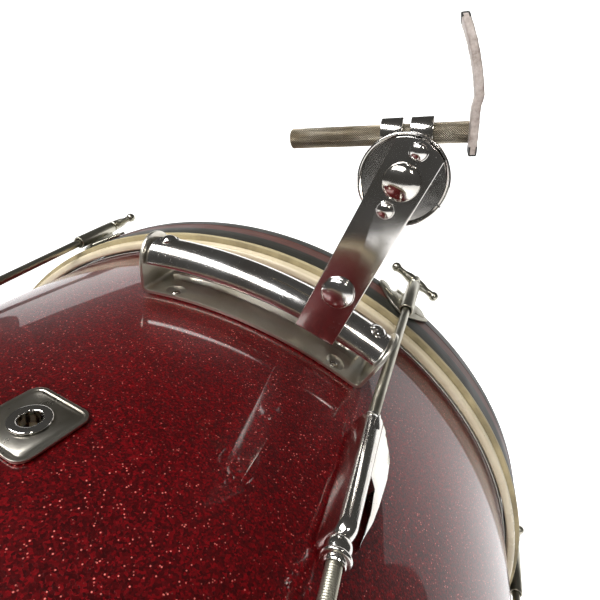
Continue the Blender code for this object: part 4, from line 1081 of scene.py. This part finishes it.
def round_foot(bm, face_z):
    """Rounds the edge where the strip is bent under into its hook."""
    corner = [
        edge
        for edge in bm.edges
        if all(abs(vert.co.z - face_z) < 1e-6 and abs(vert.co.y - ARM_FOOT) < 1e-6 for vert in edge.verts)
    ]
    bmesh.ops.bevel(
        bm, geom=corner, offset=FOOT_BEND, affect="EDGES", segments=6, profile=0.5, material=-1
    )


bm = bmesh.new()
reach = math.degrees(math.asin(ARM_HALF / ARM_TOP))
outline = [(-ARM_HALF, ARM_FOOT), (ARM_HALF, ARM_FOOT)]
outline += arc(0, 0, ARM_TOP, 90 - reach, 90 + reach, 16)
slab(bm, outline, ARM_BACK, ARM_FRONT)
round_foot(bm, ARM_FRONT)
block(bm, (-ARM_HALF, ARM_FOOT, ARM_FRONT - HOOK_DEPTH), (ARM_HALF, ARM_FOOT + ARM_THICK, ARM_FRONT - FOOT_BEND))
soften(bm, 0.4 * MM, 3, 50)
bmesh.ops.transform(bm, matrix=PIVOT_FRAME, verts=bm.verts)
piece("arm_strip", bm, "holder", CHROME, ("holder_arm",))

jaw_nodes = frame["nodes"]["holder_jaw"].data.vertices
JAW_TOP = max((to_pivot @ vert.co).y for vert in jaw_nodes)
bm = bmesh.new()
outline = [(-ARM_HALF, ARM_FOOT), (ARM_HALF, ARM_FOOT)]
outline += arc(ARM_HALF - 5 * MM, JAW_TOP - 5 * MM, 5 * MM, 0, 90, 6)
outline += arc(5 * MM - ARM_HALF, JAW_TOP - 5 * MM, 5 * MM, 90, 180, 6)
slab(bm, outline, JAW_BACK, JAW_FACE)
round_foot(bm, JAW_BACK)
block(bm, (-ARM_HALF, ARM_FOOT, JAW_BACK + FOOT_BEND), (ARM_HALF, ARM_FOOT + ARM_THICK, JAW_BACK + HOOK_DEPTH))
soften(bm, 0.4 * MM, 3, 50)
bmesh.ops.transform(bm, matrix=PIVOT_FRAME, verts=bm.verts)
piece("jaw_strip", bm, "holder", CHROME, ("holder_jaw",))


# %% bolts
def dome(radius, low, height):
    """A domed head's profile from its rim up to the axis, with a short straight skirt."""
    skirt = height * 0.16
    points = [(radius * 0.94, low), (radius, low + skirt * 0.4), (radius, low + skirt)]
    for index in range(1, 13):
        bend = math.radians(90 * index / 12)
        points.append((radius * math.cos(bend), low + skirt + (height - skirt) * math.sin(bend)))
    points[-1] = (0, low + height)
    return points


def bolt(name, radius_up, head, height, shank, end, material, nodes, washer=0.0, nut=0.0):
    face = ARM_FRONT + GAP
    profile = [(0, end), (shank, end)]
    if nut:
        nut_face = JAW_BACK - GAP
        nut_end = nut_face - 5.5 * MM
        profile = [(0, nut_end), (nut - 1 * MM, nut_end), (nut, nut_end + 1 * MM), (nut, nut_face), (shank, nut_face)]
    profile.append((shank, face))
    if washer:
        profile += [(washer, face), (washer, face + 0.35 * MM), (washer - 0.25 * MM, face + 0.6 * MM)]
        face += 0.6 * MM
        height -= 0.6 * MM
    profile += dome(head, face, height)
    bm = bmesh.new()
    turn(bm, profile, 56, arm_frame(radius_up))
    return piece(name, bm, "holder", material, nodes)


CLAMP_RADIUS = BAR_UNDER + BAR_RADIUS + 13.5 * MM
bolt("clamp_bolt_domed", CLAMP_RADIUS, 8.3 * MM, 4.6 * MM, 3 * MM, 0, BRUSHED, ("clamp_bolt",), 8.8 * MM, 6 * MM)
bolt("pivot_bolt_domed", PIVOT_RADIUS, 8.6 * MM, 5.6 * MM, 3 * MM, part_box("pivot_bolt")[0].y, CHROME, ("pivot_bolt",))
for label, side in (("upper", 1), ("lower", -1)):
    node = "disc_screw_" + label
    up = PIVOT_RADIUS + side * 14.2 * MM
    bolt(node + "_domed", up, 3.7 * MM, 3.2 * MM, 1.7 * MM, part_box(node)[0].y, CHROME, (node,), 4.3 * MM)

# %% [markdown]
# ## Tilting head
#
# A shallow dish is screwed to the arm, and a second disc behind it turns on the pivot. Two straps rise from
# that disc and wrap over the knurled rod. The rod ends in a cast plate that a tom's bracket slides onto.

# %% dish
DISC_FACE = ARM_BACK - GAP
DISC_BACK = DISC_FACE - 4 * MM
DISC_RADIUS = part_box("tilter_disc")[1].z - PIVOT_FRAME.translation.z
bm = bmesh.new()
profile = [(0, DISC_BACK), *arc(DISC_RADIUS - 0.8 * MM, DISC_BACK + 0.8 * MM, 0.8 * MM, -90, 0, 4)]
profile += arc(DISC_RADIUS - 0.7 * MM, DISC_FACE - 0.7 * MM, 0.7 * MM, 0, 130, 6)
profile += [(DISC_RADIUS - 2.2 * MM, DISC_FACE - 1.2 * MM), (0, DISC_FACE - 1.35 * MM)]
turn(bm, profile, 96, PIVOT_FRAME)
dish = piece("tilter_dish", bm, "holder", CHROME, ("tilter_disc",))
notch = bmesh.new()
notch_low = (-0.45 * MM, DISC_RADIUS - 3 * MM, DISC_FACE - 1.2 * MM)
notch_high = (0.45 * MM, DISC_RADIUS + 2 * MM, DISC_FACE + 1 * MM)
block(notch, notch_low, notch_high, PIVOT_FRAME @ Matrix.Rotation(math.radians(-96), 4, "Z"))
drill(dish, [notch])

# %% clip disc with its straps
slide_axis = Vector(joints["tom_rod_slide"]["axis"]).normalized()
tilt_up = along.cross(-slide_axis)
TILT_FRAME = basis(CENTRE + arm_out * PIVOT_RADIUS, -slide_axis, tilt_up, along)
KNURL_RADIUS = 4.75 * MM
ROD_RISE = 18.5 * MM
CLIP_FACE = DISC_BACK - GAP
CLIP_BACK = CLIP_FACE - 4.2 * MM
ROD_PLANE = CLIP_BACK - 8.5 * MM
CLIP_RADIUS = DISC_RADIUS - 1.2 * MM
STRAP_PITCH = 13.4 * MM
STRAP_WIDTH = 10 * MM
STRAP_INNER = KNURL_RADIUS + 0.4 * MM
STRAP_OUTER = STRAP_INNER + 2.3 * MM
ROD_LINE = TILT_FRAME @ Matrix.Translation((0, ROD_RISE, ROD_PLANE)) @ Matrix.Rotation(math.radians(90), 4, "Y")

bm = bmesh.new()
profile = [(0, CLIP_BACK), *arc(CLIP_RADIUS - 0.8 * MM, CLIP_BACK + 0.8 * MM, 0.8 * MM, -90, 0, 3)]
profile += [*arc(CLIP_RADIUS - 0.8 * MM, CLIP_FACE - 0.8 * MM, 0.8 * MM, 0, 90, 3), (0, CLIP_FACE)]
turn(bm, profile, 96, TILT_FRAME)
for side in (-1, 1):
    low = side * STRAP_PITCH / 2 - STRAP_WIDTH / 2
    high = low + STRAP_WIDTH
    old = set(bm.verts)
    band = [(STRAP_INNER, low), (STRAP_OUTER, low), (STRAP_OUTER, high), (STRAP_INNER, high)]
    turn(bm, band, 48, ROD_LINE, True)
    tab_top = ROD_RISE - 0.5 * MM
    block(
        bm,
        (low + 0.3 * MM, 6 * MM, CLIP_BACK - 2.3 * MM),
        (high - 0.3 * MM, tab_top, CLIP_FACE - 1.0 * MM),
        TILT_FRAME,
    )
    soften(bm, 0.4 * MM, 2, 60, [vert for vert in bm.verts if vert not in old])
piece("clip_disc", bm, "tilter", CHROME, ("rod_clip",))

# %% [markdown]
# ### Knurling
#
# A diamond knurl is two sets of crossing helical grooves. On a plain turned cylinder with a fine grid we
# lower each vertex by how near it lies to a groove of either hand, which cuts the real diamonds.

# %% knurled rod
FREE_END = 56.2 * MM
PLATE_END = 26.5 * MM
KNURL_STARTS = 30
KNURL_DEPTH = 0.42 * MM
PER_DIAMOND = 4
steps = KNURL_STARTS * PER_DIAMOND
pitch = math.tau * KNURL_RADIUS / KNURL_STARTS
rows = int((FREE_END + PLATE_END) / pitch * PER_DIAMOND)
bm = bmesh.new()
heights = [-FREE_END + 0.6 * MM + (PLATE_END + FREE_END - 0.6 * MM) * row / rows for row in range(rows + 1)]
profile = [(0, -FREE_END), (KNURL_RADIUS - 0.9 * MM, -FREE_END)]
profile += [(KNURL_RADIUS, height) for height in heights] + [(0, PLATE_END)]
turn(bm, profile, steps)
depth = bm.verts.layers.float.new("groove")
for vert in bm.verts:
    radius = math.hypot(vert.co.x, vert.co.y)
    if radius > KNURL_RADIUS - 0.1 * MM:
        around = math.atan2(vert.co.y, vert.co.x) / math.tau * KNURL_STARTS
        away = vert.co.z / pitch
        groove = 0.0
        for hand in (around + away, around - away):
            groove = max(groove, abs((hand % 1.0) - 0.5) * 2)
        # the groove depth is kept as an attribute, which the knurled finish uses for roughness and for painted shade in
        # the grooves
        vert[depth] = groove
        shrink = 1 - KNURL_DEPTH / KNURL_RADIUS * groove
        vert.co.x *= shrink
        vert.co.y *= shrink
bmesh.ops.transform(bm, matrix=ROD_LINE, verts=bm.verts)
piece("diamond_knurled_rod", bm, "tom_rod", KNURLED, ("knurled_rod",), 24)
print("knurl rows", rows, "steps", steps)

# %% cast tom plate
plate_x = PLATE_END + GAP
PLATE_THICK = 3.5 * MM
PLATE_HALF = 11 * MM
PLATE_LOW = -9.5 * MM
PLATE_HIGH = 45 * MM
CRANK = 8.75 * MM
CRANK_END = 14.75 * MM
LEAN = 7.3 * MM
JOG = 1.0 * MM


def plate_line(height):
    """How far the plate stands out along the rod at a height above it."""
    if height < CRANK:
        return 0.0
    if height < CRANK_END:
        share = (height - CRANK) / (CRANK_END - CRANK)
        return JOG * share * share * (3 - 2 * share)
    share = (height - CRANK_END) / (PLATE_HIGH - CRANK_END)
    return JOG - (JOG + LEAN) * share + 1.2 * MM * math.sin(math.pi * share)


heights = [PLATE_LOW + (PLATE_HIGH - PLATE_LOW) * index / 56 for index in range(57)]
outline = [(plate_x + plate_line(height), height) for height in heights]
outline += [(plate_x + plate_line(height) + PLATE_THICK, height) for height in reversed(heights)]
bm = bmesh.new()
slab(bm, outline, -PLATE_HALF, PLATE_HALF)
soften(bm, 0.8 * MM, 3, 60)
for vert in bm.verts:
    wave = math.sin(vert.co.y * 1300) * math.sin(vert.co.z * 900 + vert.co.y * 500)
    vert.co.x += 0.12 * MM * wave * math.sin(vert.co.y * 410)
# the plate's top and bottom ends take the near-black finish, so they read dark
for face in bm.faces:
    height = face.calc_center_median().y
    face.material_index = 1 if height > PLATE_HIGH - 2.2 * MM or height < PLATE_LOW + 4.2 * MM else 0
bmesh.ops.transform(bm, matrix=TILT_FRAME @ Matrix.Translation((0, ROD_RISE, ROD_PLANE)), verts=bm.verts)
piece("cast_tom_plate", bm, "tom_rod", (CASTING, DARK_ENDS), ("tom_plate",))

# %% [markdown]
# ## Folding spurs
#
# Each spur is a leg with an eye, held on a boss by a wing nut, and ends in a rubber foot. Their solids have
# the right shape, so the bracket and the wing nut keep them, and only the round leg is turned again.

# %% spur legs
for side_name in ("left", "right"):
    joint = joints[f"spur_leg_{side_name}_fold"]
    pin = Vector(joint["axis"]).normalized()
    eye = Vector(joint["pos_m"])
    leg_nodes = frame["nodes"][f"spur_leg_{side_name}"].data.vertices
    tip = max((vert.co for vert in leg_nodes), key=lambda co: (co - eye).length)
    lowest = [vert.co for vert in leg_nodes if (vert.co - tip).length < 15 * MM]
    aim = (sum(lowest, Vector()) / len(lowest) - eye).normalized()
    aim = (aim - pin * aim.dot(pin)).normalized()
    leg_frame = basis(eye, pin.cross(aim), pin, aim)
    local = [leg_frame.inverted() @ vert.co for vert in leg_nodes]
    leg_end = max(co.z for co in local)
    foot = 8.4 * MM
    foot_start = leg_end - 24 * MM
    profile = [(0, 6 * MM), (4.7 * MM, 6 * MM), (4.7 * MM, foot_start), (foot - 1.2 * MM, foot_start)]
    profile += arc(foot - 1.2 * MM, foot_start + 1.2 * MM, 1.2 * MM, -90, 0, 4)[1:]
    for index in range(3):
        rib = foot_start + (6 + 4 * index) * MM
        profile += [(foot, rib), (foot - 0.7 * MM, rib + 0.6 * MM), (foot - 0.7 * MM, rib + 1.4 * MM), (foot, rib + 2 * MM)]
    profile += [(foot, leg_end - 4 * MM), (foot * 0.6, leg_end), (0, leg_end)]
    bm = bmesh.new()
    turn(bm, profile, 40, leg_frame)
    for face in bm.faces:
        along_leg = (leg_frame.inverted() @ face.calc_center_median()).z
        face.material_index = 1 if along_leg > foot_start - 0.1 * MM else 0
    across_pin = leg_frame @ Matrix.Rotation(math.radians(-90), 4, "X")
    eye_ring = [(3.3 * MM, -5 * MM), (9 * MM, -5 * MM), (9 * MM, 5 * MM), (3.3 * MM, 5 * MM)]
    old = set(bm.verts)
    turn(bm, eye_ring, 48, across_pin, True)
    soften(bm, 0.6 * MM, 2, 60, [vert for vert in bm.verts if vert not in old])
    name = f"spur_leg_{side_name}"
    piece(name + "_turned", bm, name + "_body", (CHROME, DARK_ENDS), (name,))

# %% solids that keep their shape
for name in ("spur_bracket_left", "spur_bracket_right", "spur_wing_nut_left", "spur_wing_nut_right"):
    node = frame["nodes"][name]
    node.data.materials.clear()
    node.data.materials.append(CHROME)
print("pieces", len(made_pieces))

# %% [markdown]
# ## Floor, light and camera
#
# A pale sweep stands in for a studio floor, running up behind the drum. Polished metal shows its
# surroundings, so the room is a soft grey with one long soft light above, one to the side and one low
# behind the camera. The camera looks across the drum's top from the beater's side.

# %% pale sweep
def sweep_material():
    finish = Finish("studio_paper", (0.86, 0.86, 0.86), 0.9, Emission_Color=(1, 1, 1, 1), Emission_Strength=0.80)
    finish.link(finish.ramp(finish.noise(3.0, 3.0), [(0.3, (0.85, 0.85, 0.855)), (0.7, (0.88, 0.88, 0.88))]), "Base Color")
    return finish.material


SWEEP_NEAR = 2.6
SWEEP_FAR = -2.4
SWEEP_HEIGHT = 1.2
SWEEP_START = -3.2
SWEEP_WIDTH = 6.6
SWEEP_BEND = 0.8
bm = bmesh.new()
profile = [(SWEEP_NEAR, 0.0)] + [(y, z) for y, z in arc(SWEEP_FAR + SWEEP_BEND, SWEEP_BEND, SWEEP_BEND, 270, 180, 16)]
profile.append((SWEEP_FAR, SWEEP_HEIGHT))
verts = [bm.verts.new((SWEEP_START, y, z)) for y, z in profile]
edges = [bm.edges.new(pair) for pair in zip(verts, verts[1:])]
raised = bmesh.ops.extrude_edge_only(bm, edges=edges)
moved = [item for item in raised["geom"] if isinstance(item, bmesh.types.BMVert)]
bmesh.ops.translate(bm, verts=moved, vec=(SWEEP_WIDTH, 0, 0))
bmesh.ops.recalc_face_normals(bm, faces=bm.faces)
mesh = bpy.data.meshes.new("studio_sweep")
bm.to_mesh(mesh)
bm.free()
mesh.shade_smooth()
mesh.materials.append(sweep_material())
sweep = bpy.data.objects.new("studio_sweep", mesh)
bpy.context.scene.collection.objects.link(sweep)

# %% soft light
TARGET = CENTRE + Vector((0, 0, SHELL_RADIUS))


def soft_light(name, direction, distance, size, power, colour=(1, 1, 1)):
    data = bpy.data.lights.new(name, "AREA")
    data.shape = "RECTANGLE"
    data.size, data.size_y = size
    data.energy = power
    data.color = colour
    light = bpy.data.objects.new(name, data)
    aim = Vector(direction).normalized()
    light.location = TARGET + aim * distance
    light.rotation_euler = (-aim).to_track_quat("-Z", "Y").to_euler()
    bpy.context.scene.collection.objects.link(light)
    return light


soft_light("top_strip", (0.32, 0.42, 0.83), 1.7, (1.7, 0.62), 40)
soft_light("side_lamp", (-0.55, 0.50, 0.70), 2.0, (0.22, 0.22), 5, (1.0, 0.96, 0.90))
for name, direction, size, power in (
    ("sweep_wash", (0.1, -0.45, 1.0), (3.6, 2.0), 30),
    ("room_fill", (0.5, 0.8, 0.6), (1.6, 1.6), 12),
):
    soft_light(name, direction, 2.3, size, power).visible_glossy = False

world = bpy.data.worlds.new("grey_room")
world.use_nodes = True
world.node_tree.nodes["Background"].inputs["Color"].default_value = (0.92, 0.90, 0.86, 1)
world.node_tree.nodes["Background"].inputs["Strength"].default_value = 0.07
bpy.context.scene.world = world

# %% camera
camera_data = bpy.data.cameras.new("camera")
camera_data.lens = 27.06
camera_data.sensor_width = 36
camera = bpy.data.objects.new("camera", camera_data)
bpy.context.scene.collection.objects.link(camera)
VIEW_FROM = Vector((-0.140, 0.143, 0.6365))
forward = Vector((0.238, -0.874, -0.424)).normalized()
right = Vector((-0.950, -0.3005, 0.0865))
up = right.cross(forward).normalized()
right = forward.cross(up).normalized()
camera.matrix_world = basis(VIEW_FROM, right, up, -forward)
bpy.context.scene.camera = camera
bpy.context.scene.view_settings.view_transform = "Standard"
